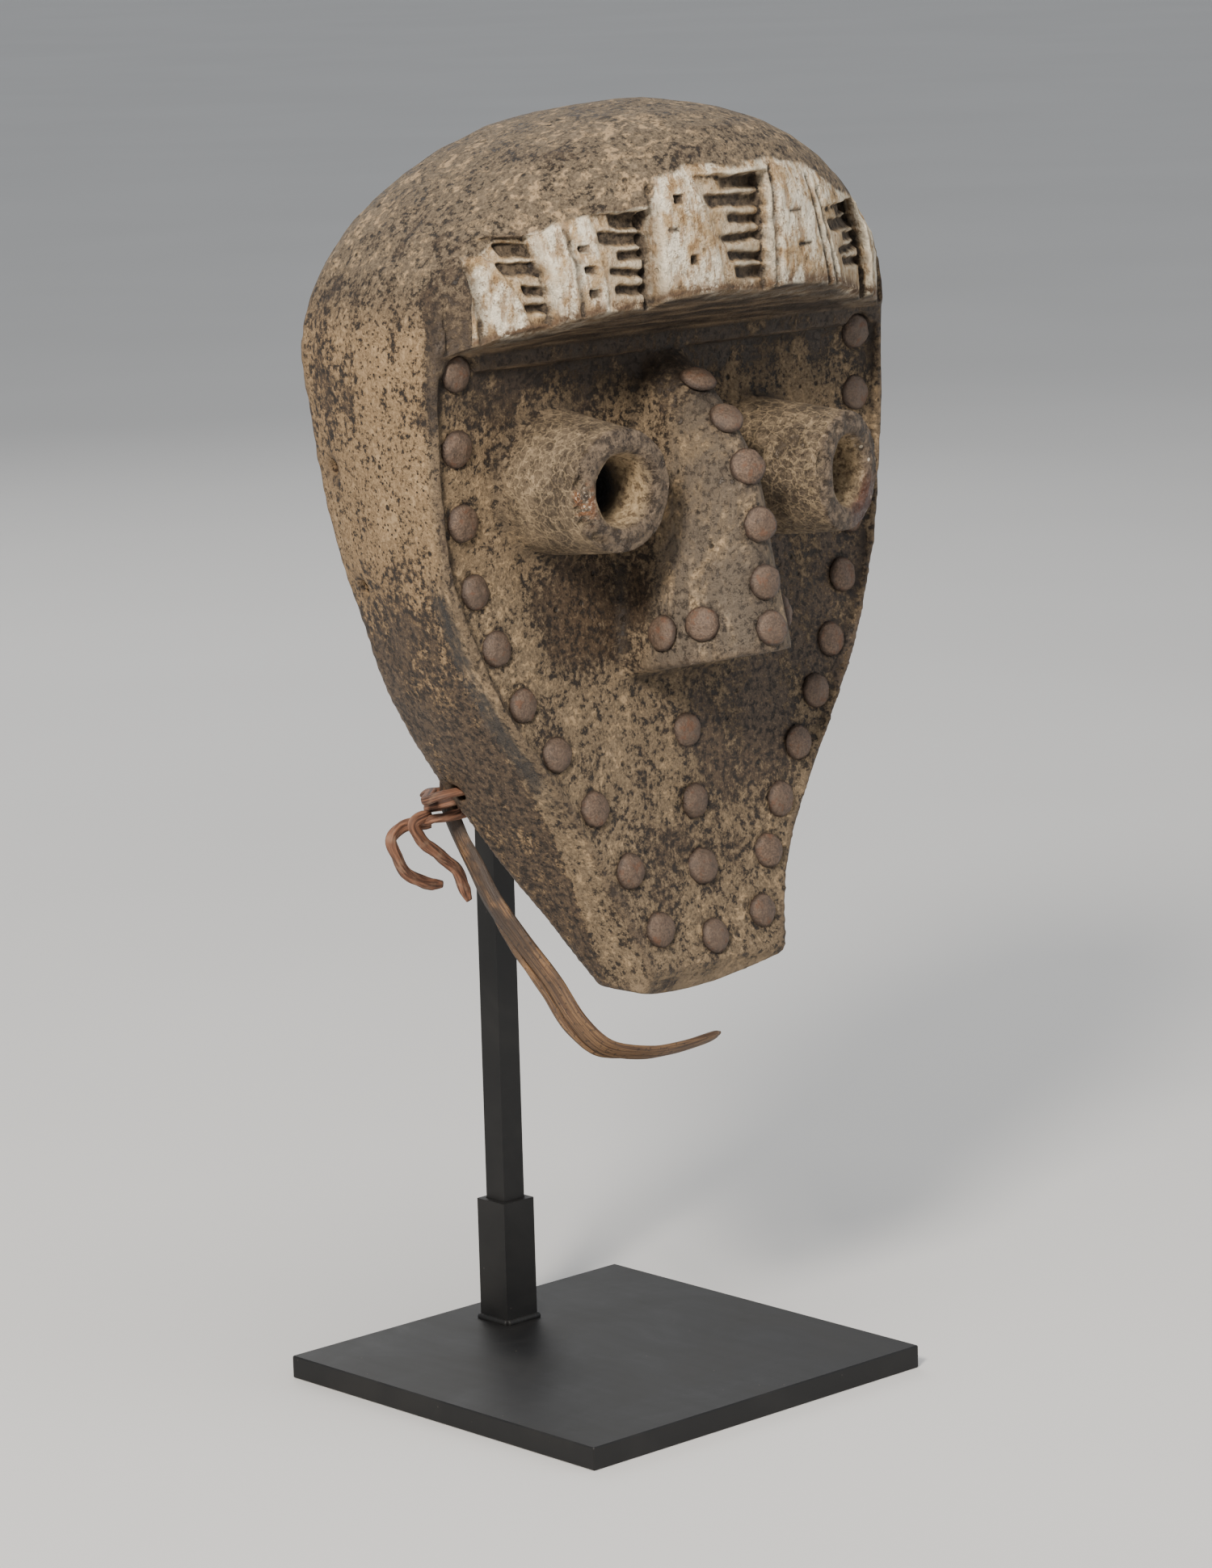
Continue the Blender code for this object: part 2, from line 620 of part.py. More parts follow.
def drive_tacks(wood):
    """Set each tack on the wood where a line from the front meets it, and cut its seat and hole."""
    bpy.context.view_layer.update()
    surface = BVHTree.FromObject(wood, bpy.context.evaluated_depsgraph_get())
    shape = tack_mesh()
    seats, holes = (bmesh.new(), bmesh.new()), bmesh.new()
    for k, (name, x, level) in enumerate(tack_places()):
        start = Vector((x, -1, level_z(level)))
        spot, normal, _, _ = surface.ray_cast(start, Vector((0, 1, 0)))
        tack = bpy.data.objects.new(name, shape)
        turn = TACK_TURN * k
        turned = along(normal) @ Matrix.Rotation(turn, 4, "Z")
        tack.matrix_world = Matrix.Translation(spot - normal * (TACK_SINK - GAP)) @ turned
        PIECES.objects.link(tack)
        seat = spot - normal * TACK_SINK
        rod(seats[k % 2], seat, normal, 2 * TACK_DOME, TACK_HEAD / 2 + GAP, sides=12, turn=turn)
        hole = seat - normal * (TACK_LENGTH + GAP)
        rod(holes, hole, normal, TACK_LENGTH + TACK_DOME, TACK_SHANK / 2 + GAP, sides=6, turn=turn)
    for name, form in (("tack_seats", seats[0]), ("tack_seats_between", seats[1]), ("tack_holes", holes)):
        boolean(wood, from_bmesh(name, form))


drive_tacks(mask)


# Stand: plate, square sleeve and post, and the two arms that reach into the hollow mask
def base_plate():
    half = PLATE_SIDE / 2
    plate = box("base_plate", (-half, -half, 0), (half, half, PLATE_THICK), BLACK_STEEL)
    bevel(plate, PLATE_BEVEL)


def post_sleeve():
    foot = PLATE_THICK + GAP
    half, bore = SLEEVE_SIDE / 2, POST_SIDE / 2 + GAP
    low, high = (POST_X - half, POST_Y - half, foot), (POST_X + half, POST_Y + half, foot + SLEEVE_HEIGHT)
    sleeve = box("post_sleeve", low, high, BLACK_STEEL)
    through = box("sleeve_bore", (POST_X - bore, POST_Y - bore, 0), (POST_X + bore, POST_Y + bore, SLEEVE_HEIGHT * 2))
    boolean(sleeve, through)


def upper_arm_height():
    return level_z(1) - UPPER_ARM_DROP


def post():
    half = POST_SIDE / 2
    top = upper_arm_height() + POST_ABOVE_ARM
    box("post", (POST_X - half, POST_Y - half, PLATE_THICK + GAP), (POST_X + half, POST_Y + half, top), BLACK_STEEL)


def smooth_path(points, steps):
    """Points on a smooth curve through a route's own points."""
    route = [Vector(point) for point in points]
    lengths = np.cumsum([0] + [(b - a).length for a, b in zip(route, route[1:])])
    lines = [smooth_line(*[(s, point[i]) for s, point in zip(lengths, route)]) for i in range(3)]
    return [Vector([line(lengths[-1] * k / steps) for line in lines]) for k in range(steps + 1)]


def tube(name, path, diameter, finish):
    """A round bar or strand along a path, made a closed mesh."""
    curve = bpy.data.curves.new(name, "CURVE")
    curve.dimensions = "3D"
    curve.bevel_depth = diameter / 2
    curve.bevel_resolution = 2
    curve.use_fill_caps = True
    spline = curve.splines.new("POLY")
    spline.points.add(len(path) - 1)
    for target, point in zip(spline.points, path):
        target.co = (*point, 1)
    holder = bpy.data.objects.new(name, curve)
    PIECES.objects.link(holder)
    mesh = evaluated_mesh(holder)
    bpy.data.objects.remove(holder)
    form = bmesh.new()
    form.from_mesh(mesh)
    bmesh.ops.remove_doubles(form, verts=form.verts, dist=0.00001)
    return from_bmesh(name, form, finish)


def disc(name, start, axis, thickness, diameter, finish):
    form = bmesh.new()
    rod(form, start, axis, thickness, diameter / 2, sides=20)
    return from_bmesh(name, form, finish)


def free_run(surface, start, axis, radius):
    """How far a disc can move from its start along an axis before its face meets a surface."""
    axis = Vector(axis).normalized()
    side = axis.orthogonal().normalized()
    rim = [Matrix.Rotation(math.tau * k / 12, 3, axis) @ side * radius for k in range(12)]
    return min(surface.ray_cast(start + offset, axis)[3] for offset in rim + [Vector()])


def stand_arms(wood):
    """The upper arm carries the mask under its crown, and the lower arm steadies it behind the chin."""
    bpy.context.view_layer.update()
    inside = BVHTree.FromObject(wood, bpy.context.evaluated_depsgraph_get())
    front_of_post = POST_Y - POST_SIDE / 2 - GAP
    seat = Vector((POST_X, depth_y(0.26), upper_arm_height()))
    rise = free_run(inside, seat, (0, 0, 1), CROWN_PAD / 2) - PAD_THICK - 2 * GAP
    pad_foot = seat + Vector((0, 0, rise))
    disc("crown_pad", pad_foot, (0, 0, 1), PAD_THICK, CROWN_PAD, FELT)
    bend = 0.014
    path = [(POST_X, front_of_post, seat.z)]
    for k in range(7):
        turn = math.radians(90) * k / 6
        path.append((POST_X, seat.y + bend * (1 - math.sin(turn)), seat.z + bend * (1 - math.cos(turn))))
    path.append(pad_foot - Vector((0, 0, GAP)))
    tube("upper_arm", path, ARM_DIAMETER, BLACK_STEEL)
    start = Vector((POST_X, front_of_post, LOWER_ARM_HEIGHT))
    reach = free_run(inside, start, (0, -1, 0), CHIN_PAD / 2) - PAD_THICK - 2 * GAP
    pad_back = start + Vector((0, -reach, 0))
    disc("chin_pad", pad_back, (0, -1, 0), PAD_THICK, CHIN_PAD, FELT)
    tube("lower_arm", [start, pad_back + Vector((0, GAP, 0))], ARM_DIAMETER, BLACK_STEEL)


base_plate()
post_sleeve()
post()
stand_arms(mask)


# Rattan hoop: a split cane strip tied to the rim, which bends under the chin and ends broken
HOOP_ROUTE = (
    (-0.0465, 0.0100, 0.185), (-0.0462, 0.0090, 0.178), (-0.0450, 0.0060, 0.169), (-0.0446, 0.0002, 0.161),
    (-0.0436, -0.0060, 0.151), (-0.0396, -0.0140, 0.1385), (-0.0352, -0.0215, 0.127), (-0.0319, -0.0280, 0.116),
    (-0.0270, -0.0320, 0.1095), (-0.0200, -0.0340, 0.1068), (-0.0120, -0.0350, 0.1053), (0.0000, -0.0350, 0.1047),
    (0.0160, -0.0350, 0.1056),
)
HOOP_BEND_AXIS = Vector((-0.04, -0.85, 0.52))


def strip(name, path, widths, thickness, finish):
    """A half-round strip bent about one axis, with its flat side inwards and its width along the axis."""
    rings = []
    for k, point in enumerate(path):
        run = (path[min(k + 1, len(path) - 1)] - path[max(k - 1, 0)]).normalized()
        side = (HOOP_BEND_AXIS - run * HOOP_BEND_AXIS.dot(run)).normalized()
        out = run.cross(side)
        width = widths(k / (len(path) - 1))
        taper = 0.7 if k in (0, len(path) - 1) else 1
        ring = []
        for i in range(10):
            turn = math.tau * i / 10
            depth = max(math.sin(turn), -0.45)
            ring.append(point + (side * math.cos(turn) * width / 2 + out * depth * thickness * 0.69) * taper)
        rings.append(ring)
    return loft(name, rings, finish)


hoop_width = smooth_line(
    (0, HOOP_TIED_WIDTH), (0.14, HOOP_TIED_WIDTH), (0.32, HOOP_WIDTH * 0.9), (0.6, HOOP_WIDTH), (0.8, HOOP_WIDTH * 0.9),
    (1, HOOP_WIDTH * 0.75),
)
strip("rattan_hoop", smooth_path(HOOP_ROUTE, 26), hoop_width, HOOP_THICK, RATTAN)


# Fibre tie: it passes through the lashing hole, winds round the hoop, and leaves two free ends
def tie_knot():
    hole = lashing_hole(TIE_LEVEL, -1, TIE_HOLE_FROM_RIM)
    outside = hole.x - FLANK_BULGE
    route = [
        Vector((hole.x + FLANK_WALL * 1.2, hole.y, hole.z)), Vector((hole.x + FLANK_WALL / 2, hole.y, hole.z)),
        Vector((hole.x, hole.y, hole.z)), Vector((outside, hole.y + 0.0015, hole.z - 0.0005)),
        Vector((outside - 0.0004, hole.y + 0.0075, hole.z - 0.0025)),
    ]
    radius = HOOP_TIED_WIDTH / 2 + TIE_DIAMETER / 2 + 4 * GAP
    top, bottom = Vector(HOOP_ROUTE[0]), Vector(HOOP_ROUTE[1])
    run = (bottom - top).normalized()
    across = run.cross(Vector((0, 1, 0))).normalized()
    ahead = across.cross(run)
    turns, pitch = 2, TIE_DIAMETER + 3 * GAP
    for k in range(17):
        turn = math.pi - math.tau * turns * k / 16
        centre = top + run * (0.0035 + pitch * turns * k / 16)
        route.append(centre + (across * math.cos(turn) + ahead * math.sin(turn)) * radius)
    return tube("tie_knot", smooth_path(route, 44), TIE_DIAMETER, FIBRE)


TIE_LOOP_ROUTE = (
    (-0.0525, 0.0094, 0.1725), (-0.0600, 0.0140, 0.1718), (-0.0640, 0.0135, 0.1690), (-0.0625, 0.0130, 0.1635),
    (-0.0590, 0.0130, 0.1585), (-0.0530, 0.0130, 0.1550), (-0.0460, 0.0130, 0.1532),
)
TIE_END_ROUTE = (
    (-0.0538, 0.0082, 0.1755), (-0.0600, 0.0085, 0.1735), (-0.0575, 0.0090, 0.1695), (-0.0512, 0.0095, 0.1640),
    (-0.0435, 0.0095, 0.1575), (-0.0395, 0.0090, 0.1480),
)

tie_knot()
tube("tie_loop", smooth_path(TIE_LOOP_ROUTE, 11), TIE_DIAMETER, FIBRE)
tube("tie_end", smooth_path(TIE_END_ROUTE, 10), TIE_DIAMETER, FIBRE)
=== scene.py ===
"""Looks of a carved wooden mask with tube eyes on its black steel stand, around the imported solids.

Metres, +Z up. The mask looks along -Y, and the origin is under the middle of the base plate.
"""

import math

import bmesh
import bpy
import numpy as np
from mathutils import Matrix, Vector, noise
from mathutils.bvhtree import BVHTree
from mathutils.kdtree import KDTree


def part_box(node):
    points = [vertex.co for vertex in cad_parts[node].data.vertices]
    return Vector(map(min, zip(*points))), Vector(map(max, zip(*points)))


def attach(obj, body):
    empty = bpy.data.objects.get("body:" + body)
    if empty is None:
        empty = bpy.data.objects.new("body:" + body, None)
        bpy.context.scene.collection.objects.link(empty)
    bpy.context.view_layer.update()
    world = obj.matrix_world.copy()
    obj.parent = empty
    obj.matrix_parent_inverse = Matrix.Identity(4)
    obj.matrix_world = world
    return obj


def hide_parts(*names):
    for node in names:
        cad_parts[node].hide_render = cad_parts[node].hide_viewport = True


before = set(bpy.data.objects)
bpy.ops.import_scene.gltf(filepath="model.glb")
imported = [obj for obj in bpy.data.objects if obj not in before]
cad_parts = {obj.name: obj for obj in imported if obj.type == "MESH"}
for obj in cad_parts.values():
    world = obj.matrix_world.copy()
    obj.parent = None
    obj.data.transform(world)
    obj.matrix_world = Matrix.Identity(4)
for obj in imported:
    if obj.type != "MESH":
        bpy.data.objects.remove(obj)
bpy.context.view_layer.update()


# Viewpoint: a long lens one and a half metres off, a little above the mask, ahead of it and on the
# wearer's right. The place and the turns were fitted to the photo's own outlines.
EYE_PLACE = Vector((-1.01003, -1.09819, 0.46049))
TURN, DIP, LEAN = math.radians(42.8), math.radians(10.76), math.radians(-1.6)
LONG_SIDE_MM, LENS_MM = 36.0, 120.55
NEAR_LIMIT, FAR_LIMIT = 0.05, 60


def new_object(name, data):
    item = bpy.data.objects.new(name, data)
    bpy.context.scene.collection.objects.link(item)
    return item


forward = Vector((math.sin(TURN) * math.cos(DIP), math.cos(TURN) * math.cos(DIP), -math.sin(DIP)))
level_right = Vector((math.cos(TURN), -math.sin(TURN), 0))
level_up = level_right.cross(forward)
view_right = level_right * math.cos(LEAN) + level_up * math.sin(LEAN)
view_up = level_up * math.cos(LEAN) - level_right * math.sin(LEAN)
camera = new_object("camera", bpy.data.cameras.new("camera"))
camera.data.sensor_fit = "VERTICAL"
camera.data.sensor_height = LONG_SIDE_MM
camera.data.lens = LENS_MM
camera.data.clip_start, camera.data.clip_end = NEAR_LIMIT, FAR_LIMIT
turned = Matrix((view_right, view_up, -forward)).transposed().to_4x4()
camera.matrix_world = Matrix.Translation(EYE_PLACE) @ turned
bpy.context.scene.camera = camera


# Fibre tie: strips of dried bark fibre, twisted by hand, which pass through the hole by the rim, wind
# twice round the cane hoop, and leave a flat loop and a loose end.
TIE_THICK = 0.003
TIE_HOLE = Vector((-0.05549, -0.00561, 0.18374))
TIE_LOOP_ROUTE = (
    (-0.0525, 0.0094, 0.1725), (-0.06, 0.014, 0.1718), (-0.064, 0.0135, 0.169),
    (-0.0625, 0.013, 0.1635), (-0.059, 0.013, 0.1585), (-0.053, 0.013, 0.155),
    (-0.046, 0.013, 0.1532),
)
TIE_END_ROUTE = (
    (-0.0538, 0.0082, 0.1755), (-0.06, 0.0085, 0.1735), (-0.0575, 0.009, 0.1695),
    (-0.0512, 0.0095, 0.164), (-0.0435, 0.0095, 0.1575), (-0.0395, 0.009, 0.148),
)
HITCH_ROUTE = (
    (-0.0475, 0.0018, 0.1758), (-0.052, 0.0036, 0.175), (-0.055, 0.0075, 0.174),
    (-0.0538, 0.0112, 0.1728), (-0.0495, 0.014, 0.172),
)
# From the hollow, through the hole and round the rim to the hoop, as steps from the hole
TIE_LEAD = (
    (0.0144, 0, 0), (0.006, 0, 0), (0, 0, 0), (-0.004, 0.0015, -0.0005), (-0.0044, 0.0075, -0.0025),
)
HOOP_TOP, HOOP_BELOW = Vector((-0.0465, 0.01, 0.185)), Vector((-0.0462, 0.009, 0.178))
TIE_TURNS, TIE_COIL, TIE_STEPS = 2, 0.0058, 16
COIL_START, COIL_GAP = 0.0035, 0.0009
STRAND_SIDES = 18


def add_node(tree, kind, settings, inputs):
    """One node with its settings, and with the values or links of its sockets."""
    node = tree.nodes.new(kind)
    for name, value in (settings or {}).items():
        setattr(node, name, value)
    for name, value in (inputs or {}).items():
        if isinstance(value, bpy.types.NodeSocket):
            tree.links.new(value, node.inputs[name])
        else:
            node.inputs[name].default_value = value
    return node


class Wire:
    """A socket in a finish's node tree. Arithmetic on it adds Math nodes, and add() any other node."""

    def __init__(self, tree, socket=None):
        self.tree, self.socket = tree, socket

    def add(self, kind, settings=None, inputs=None, output=0):
        inputs = {name: getattr(value, "socket", value) for name, value in (inputs or {}).items()}
        return Wire(self.tree, add_node(self.tree, kind, settings, inputs).outputs[output])

    def sum(self, operation, *others, **settings):
        inputs = dict(enumerate((self, *others)))
        return self.add("ShaderNodeMath", {"operation": operation, **settings}, inputs)

    def __add__(self, other):
        return self.sum("ADD", other)

    def __sub__(self, other):
        return self.sum("SUBTRACT", other)

    def __mul__(self, other):
        return self.sum("MULTIPLY", other)

    def __rsub__(self, other):
        return self * -1 + other

    __radd__, __rmul__ = __add__, __mul__

    def over(self, other):
        return self.sum("MAXIMUM", other)

    def kept(self):
        """The value, held between 0 and 1."""
        return self.sum("ADD", 0.0, use_clamp=True)

    def rise(self, low, high):
        """0 below low and 1 above high, with a soft step between."""
        settings = {"interpolation_type": "SMOOTHSTEP"}
        return self.add("ShaderNodeMapRange", settings, {"Value": self, "From Min": low, "From Max": high})

    def moved(self, scale):
        return self.add("ShaderNodeMapping", None, {"Vector": self, "Scale": scale})

    def grain(self, size, detail=3.0, roughness=0.55, distortion=0.0):
        """Cloudy noise with features of about that size, in metres, on a vector."""
        inputs = {"Vector": self, "Scale": 1 / size, "Detail": detail, "Roughness": roughness}
        return self.add("ShaderNodeTexNoise", None, {**inputs, "Distortion": distortion})

    def cells(self, size, feature="F1"):
        """Distance to the nearest of scattered points, or to the border between two, in cell sizes."""
        inputs = {"Vector": self, "Scale": 1 / size}
        return self.add("ShaderNodeTexVoronoi", {"feature": feature}, inputs, "Distance")

    def around(self, centre, reach):
        """1 at a place, falling to 0 at that distance from it."""
        distance = self.add("ShaderNodeVectorMath", {"operation": "DISTANCE"}, {0: self, 1: centre}, 1)
        return distance.rise(reach, reach * 0.3)

    def blend(self, low, high):
        """One colour where the value is 0, the other where it is 1."""
        low, high = (end if isinstance(end, Wire) else (*end, 1) for end in (low, high))
        return self.add("ShaderNodeMix", {"data_type": "RGBA"}, {0: self, 6: low, 7: high}, 2)

    def attribute(self, name, output="Fac"):
        return self.add("ShaderNodeAttribute", {"attribute_name": name}, None, output)


def painted(colour, *layers):
    """A colour under layers, each given as its cover and its own colour."""
    for cover, tint in layers:
        colour = cover.blend(colour, tint)
    return colour


def new_finish(name):
    """A material and the place of each point in the row frame."""
    finish = bpy.data.materials.new(name)
    finish.use_nodes = True
    return finish, Wire(finish.node_tree).add("ShaderNodeTexCoord", output="Object")


def set_finish(finish, colour, roughness, height=None, depth=0.0004, metallic=0.0, **fixed):
    """Join a finish's wires to its shader. Height is a relief of 0 to 1, and depth its size."""
    shader = finish.node_tree.nodes["Principled BSDF"]
    inputs = {"Base Color": colour, "Roughness": roughness, "Metallic": metallic}
    if height is not None:
        relief = {"Height": height, "Distance": depth, "Strength": 1.0}
        inputs["Normal"] = height.add("ShaderNodeBump", None, relief)
    for name, value in {**inputs, **fixed}.items():
        if isinstance(value, Wire):
            finish.node_tree.links.new(value.socket, shader.inputs[name])
        else:
            shader.inputs[name].default_value = value
    return finish


def reach_along(path):
    """The distance from a path's start to each of its places."""
    return np.concatenate([[0], np.cumsum(np.linalg.norm(np.diff(path, axis=0), axis=1))])


def headings(path):
    """The way that a path runs at each of its places."""
    runs = np.gradient(path, axis=0)
    return runs / np.linalg.norm(runs, axis=1)[:, None]


def curve_through(points, count):
    """Evenly spaced places on the smooth curve through a route's points."""
    route = np.array(points, float)
    reach = reach_along(route)
    slopes = np.gradient(route, reach, axis=0)
    at = np.linspace(0, reach[-1], count)
    i = np.clip(np.searchsorted(reach, at, side="right"), 1, len(reach) - 1)
    span = (reach[i] - reach[i - 1])[:, None]
    t = (at - reach[i - 1])[:, None] / span
    bend = (2 * t**3 - 3 * t**2 + 1) * route[i - 1] + (3 * t**2 - 2 * t**3) * route[i]
    return bend + ((t**3 - 2 * t**2 + t) * slopes[i - 1] + (t**3 - t**2) * slopes[i]) * span


def strand(path, section, first_out, across=None):
    """Skin a path. section(share along, turn) gives half the width and half the thickness, and across,
    if given, is the way the width points. Returns points, faces and straight places."""
    reach = reach_along(path)
    sides, out = STRAND_SIDES, Vector(first_out)
    points, straight, faces = [], [], []
    for k, (place, run) in enumerate(zip(path, headings(path))):
        run = Vector(run)
        if across:
            out = run.cross(across)
        out = (out - run * out.dot(run)).normalized()
        side = run.cross(out)
        for i in range(sides):
            turn = math.tau * i / sides
            wide, thick = section(reach[k] / reach[-1], turn)
            points.append(Vector(place) + side * wide * math.cos(turn) + out * thick * math.sin(turn))
            straight.append((wide * math.cos(turn), thick * math.sin(turn), reach[k]))
    for k in range(len(path) - 1):
        for i in range(sides):
            j = (i + 1) % sides
            faces.append((k * sides + i, k * sides + j, (k + 1) * sides + j, (k + 1) * sides + i))
    for ring, tip in ((0, path[0]), (len(path) - 1, path[-1])):
        points.append(Vector(tip))
        straight.append((0, 0, reach[ring]))
        centre = len(points) - 1
        for i in range(sides):
            faces.append((ring * sides + i, centre, ring * sides + (i + 1) % sides))
    return points, faces, straight


def skinned(name, strands, finish, material_slot, *nodes):
    """One piece made of strands, which stands for the CAD nodes."""
    points, faces, straight = [], [], []
    for own_points, own_faces, own_straight in strands:
        start = len(points)
        points += own_points
        straight += own_straight
        faces += [tuple(i + start for i in face) for face in own_faces]
    mesh = bpy.data.meshes.new(name)
    mesh.from_pydata([tuple(point) for point in points], [], faces)
    attribute = mesh.attributes.new("straightened", "FLOAT_VECTOR", "POINT")
    attribute.data.foreach_set("vector", np.array(straight, np.float32).ravel())
    form = bmesh.new()
    form.from_mesh(mesh)
    bmesh.ops.recalc_face_normals(form, faces=form.faces)
    form.to_mesh(mesh)
    form.free()
    mesh.shade_smooth()
    mesh.materials.append(finish)
    piece = new_object(name, mesh)
    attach(piece, "root")
    if nodes:
        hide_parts(*nodes)
    return piece


def fibre_finish():
    finish, _ = new_finish("dried_fibre")
    straight = Wire(finish.node_tree).attribute("straightened", "Vector")
    threads = straight.moved((1, 1, 0.06)).grain(0.0007, 4)
    patches = straight.grain(0.006, 3)
    colour = threads.rise(0.35, 0.68).blend((0.045, 0.018, 0.01), (0.23, 0.105, 0.058))
    colour = (patches.rise(0.5, 0.7) * 0.5).blend(colour, (0.3, 0.2, 0.13))
    return set_finish(finish, colour, 0.55 + threads * 0.3, threads, 0.0005)


def twist(share, turn):
    """A strip rolled on itself: three soft lobes that wind along it, and thinner ends."""
    lobes = 0.11 * math.cos(3 * turn - 24 * share) + 0.06 * noise.noise(Vector((turn, 9 * share, 2)))
    taper = min(1, 0.72 + 6 * share, 0.55 + 5 * (1 - share))
    radius = TIE_THICK / 2 * (0.98 + lobes) * taper
    return radius * 1.22, radius * 0.84


TIE = fibre_finish()
wrap_down = (HOOP_BELOW - HOOP_TOP).normalized()
wrap_side = wrap_down.cross(Vector((0, 1, 0))).normalized()
wrap_ahead = wrap_side.cross(wrap_down)
tie_route = [TIE_HOLE + Vector(lead) for lead in TIE_LEAD]
for k in range(TIE_STEPS + 1):
    winding = TIE_TURNS * k / TIE_STEPS
    centre = HOOP_TOP + wrap_down * (COIL_START + (TIE_THICK + COIL_GAP) * winding)
    turn = math.pi - math.tau * winding
    tie_route.append(centre + (wrap_side * math.cos(turn) + wrap_ahead * math.sin(turn)) * TIE_COIL)
knot_strands = [
    strand(curve_through(route, count), twist, (0, 0, 1))
    for route, count in ((tie_route, 130), (HITCH_ROUTE, 40))
]
skinned("fibre_knot", knot_strands, TIE, "dried_fibre", "tie_knot")
for name, route, node in (
    ("fibre_loop", TIE_LOOP_ROUTE, "tie_loop"),
    ("fibre_end", TIE_END_ROUTE, "tie_end"),
):
    path = curve_through(route, 60)
    piece = skinned(name, [strand(path, twist, (0, 1, 0))], TIE, "dried_fibre", node)
    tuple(route[0])
    float(reach_along(path)[-1])


# Cane hoop: a strip of split rattan, round outside and flat inside, tied at the rim and bent under the
# chin. Its outer skin has split along the lower bend, and its far end is broken off and worn round.
HOOP_ROUTE = (
    (-0.0465, 0.01, 0.185), (-0.0462, 0.009, 0.178), (-0.045, 0.006, 0.169),
    (-0.0446, 0.0002, 0.161), (-0.0436, -0.006, 0.151), (-0.0396, -0.014, 0.1385),
    (-0.0352, -0.0215, 0.127), (-0.0319, -0.028, 0.116), (-0.027, -0.032, 0.1095),
    (-0.02, -0.034, 0.1068), (-0.012, -0.035, 0.1053), (0.0000, -0.035, 0.1047),
    (0.016, -0.035, 0.1056),
)
HOOP_ACROSS = Vector((-0.04, -0.85, 0.52))
HOOP_WIDTHS = (0, 0.14, 0.32, 0.6, 0.8, 1), (0.0062, 0.0062, 0.008, 0.0088, 0.008, 0.0066)
HOOP_THICK = 0.0034
SPLIT_SPAN, SPLIT_ASIDE, SPLIT_GAPE, SPLIT_LIFT = slice(70, 186), 0.0034, 0.001, 0.0008
SPLINTER_WIDTH, SPLINTER_THICK = 0.0026, 0.002


def cane_section(share, turn):
    """A rounded skin and a flat back, with split grooves along the skin and both ends worn."""
    flat = 0.62 if math.sin(turn) < 0 else 1.0
    grooves = 0.07 * noise.noise(Vector((6 * turn, 3 * share, 1)))
    grooves += 0.1 * noise.noise(Vector((1.7 * turn, 14 * share, 5)))
    split_here = float(np.interp(share, (0.25, 0.4, 0.72, 0.8), (0, 1, 1, 0)))
    split = -0.3 * math.exp(-(((turn - 0.62) / 0.2) ** 2)) * split_here
    ends = min(1, 0.55 + 9 * share, math.sqrt(max(0.16, 1 - max(0, (share - 0.96) / 0.04) ** 2)))
    size = (1 + grooves + split) * ends / 2
    return float(np.interp(share, *HOOP_WIDTHS)) * size, HOOP_THICK * size * flat


def cane_finish():
    finish, place = new_finish("rattan")
    straight = Wire(finish.node_tree).attribute("straightened", "Vector")
    fibres = straight.moved((1, 1, 0.04)).grain(0.0006, 4)
    blotches = straight.moved((1, 1, 0.4)).grain(0.006, 4)
    # Painted shade and light: dark blotches cover more of the hoop above z 0.15 than below 0.118, so its
    # upper part is painted in shade and its lower bend painted lit.
    lit = place.add("ShaderNodeSeparateXYZ", None, {0: place}, "Z").rise(0.15, 0.118)
    colour = fibres.rise(0.36, 0.66).blend((0.075, 0.036, 0.016), (0.27, 0.15, 0.065))
    colour = (blotches.rise(0.3, 0.48) * (0.95 - 0.6 * lit)).blend(colour, (0.03, 0.018, 0.011))
    colour = (straight.grain(0.0012, 3).rise(0.58, 0.66) * 0.7).blend(colour, (0.018, 0.01, 0.006))
    return set_finish(finish, colour, 0.42 + fibres * 0.35, fibres + blotches * 0.5, 0.0006)


CANE = cane_finish()
hoop_path = curve_through(HOOP_ROUTE, 240)
splinter_path = hoop_path[SPLIT_SPAN]
runs = headings(splinter_path)
across = np.array(HOOP_ACROSS) - runs * (runs @ np.array(HOOP_ACROSS))[:, None]
lift = np.sin(np.linspace(0, math.pi, len(splinter_path)))[:, None]
splinter_path = splinter_path - across * (SPLIT_ASIDE + SPLIT_GAPE * lift)
splinter_path += np.cross(runs, across) * SPLIT_LIFT * lift


def splinter_section(share, turn):
    """A thin, uneven sliver of the cane's skin that runs out at both ends."""
    body = 0.55 + 0.45 * math.sin(math.pi * share)
    body *= 1 + 0.2 * noise.noise(Vector((2 * turn, 11 * share, 7)))
    ends = min(1, 0.15 + 7 * share, 0.15 + 7 * (1 - share))
    return SPLINTER_WIDTH / 2 * body * ends, SPLINTER_THICK / 2 * body * ends


hoop_strands = [
    strand(hoop_path, cane_section, (-1, 0, 0), HOOP_ACROSS),
    strand(splinter_path, splinter_section, (-1, 0, 0), HOOP_ACROSS),
]
skinned("cane_hoop", hoop_strands, CANE, "rattan", "rattan_hoop")


# Mask: one block of hardwood, hollowed behind and carved with an adze and a knife: the domed forehead
# with its notched visor, the flat face with tube eyes and a wedge of a nose, and the bevelled chin.
FINE_VOXEL, SHOWN_TRIANGLES = 0.001, 190000
MASK_HALF = 0.088
# The visor's underside slopes up from this line
UNDERSIDE_Y, UNDERSIDE_Z, VISOR_SLOPE = -0.0378, 0.311, math.radians(21)
# The zone of the visor: how far out, how high and how far in
VISOR_HALF, VISOR_TOP, VISOR_THICK = 0.084, 0.362, 0.009
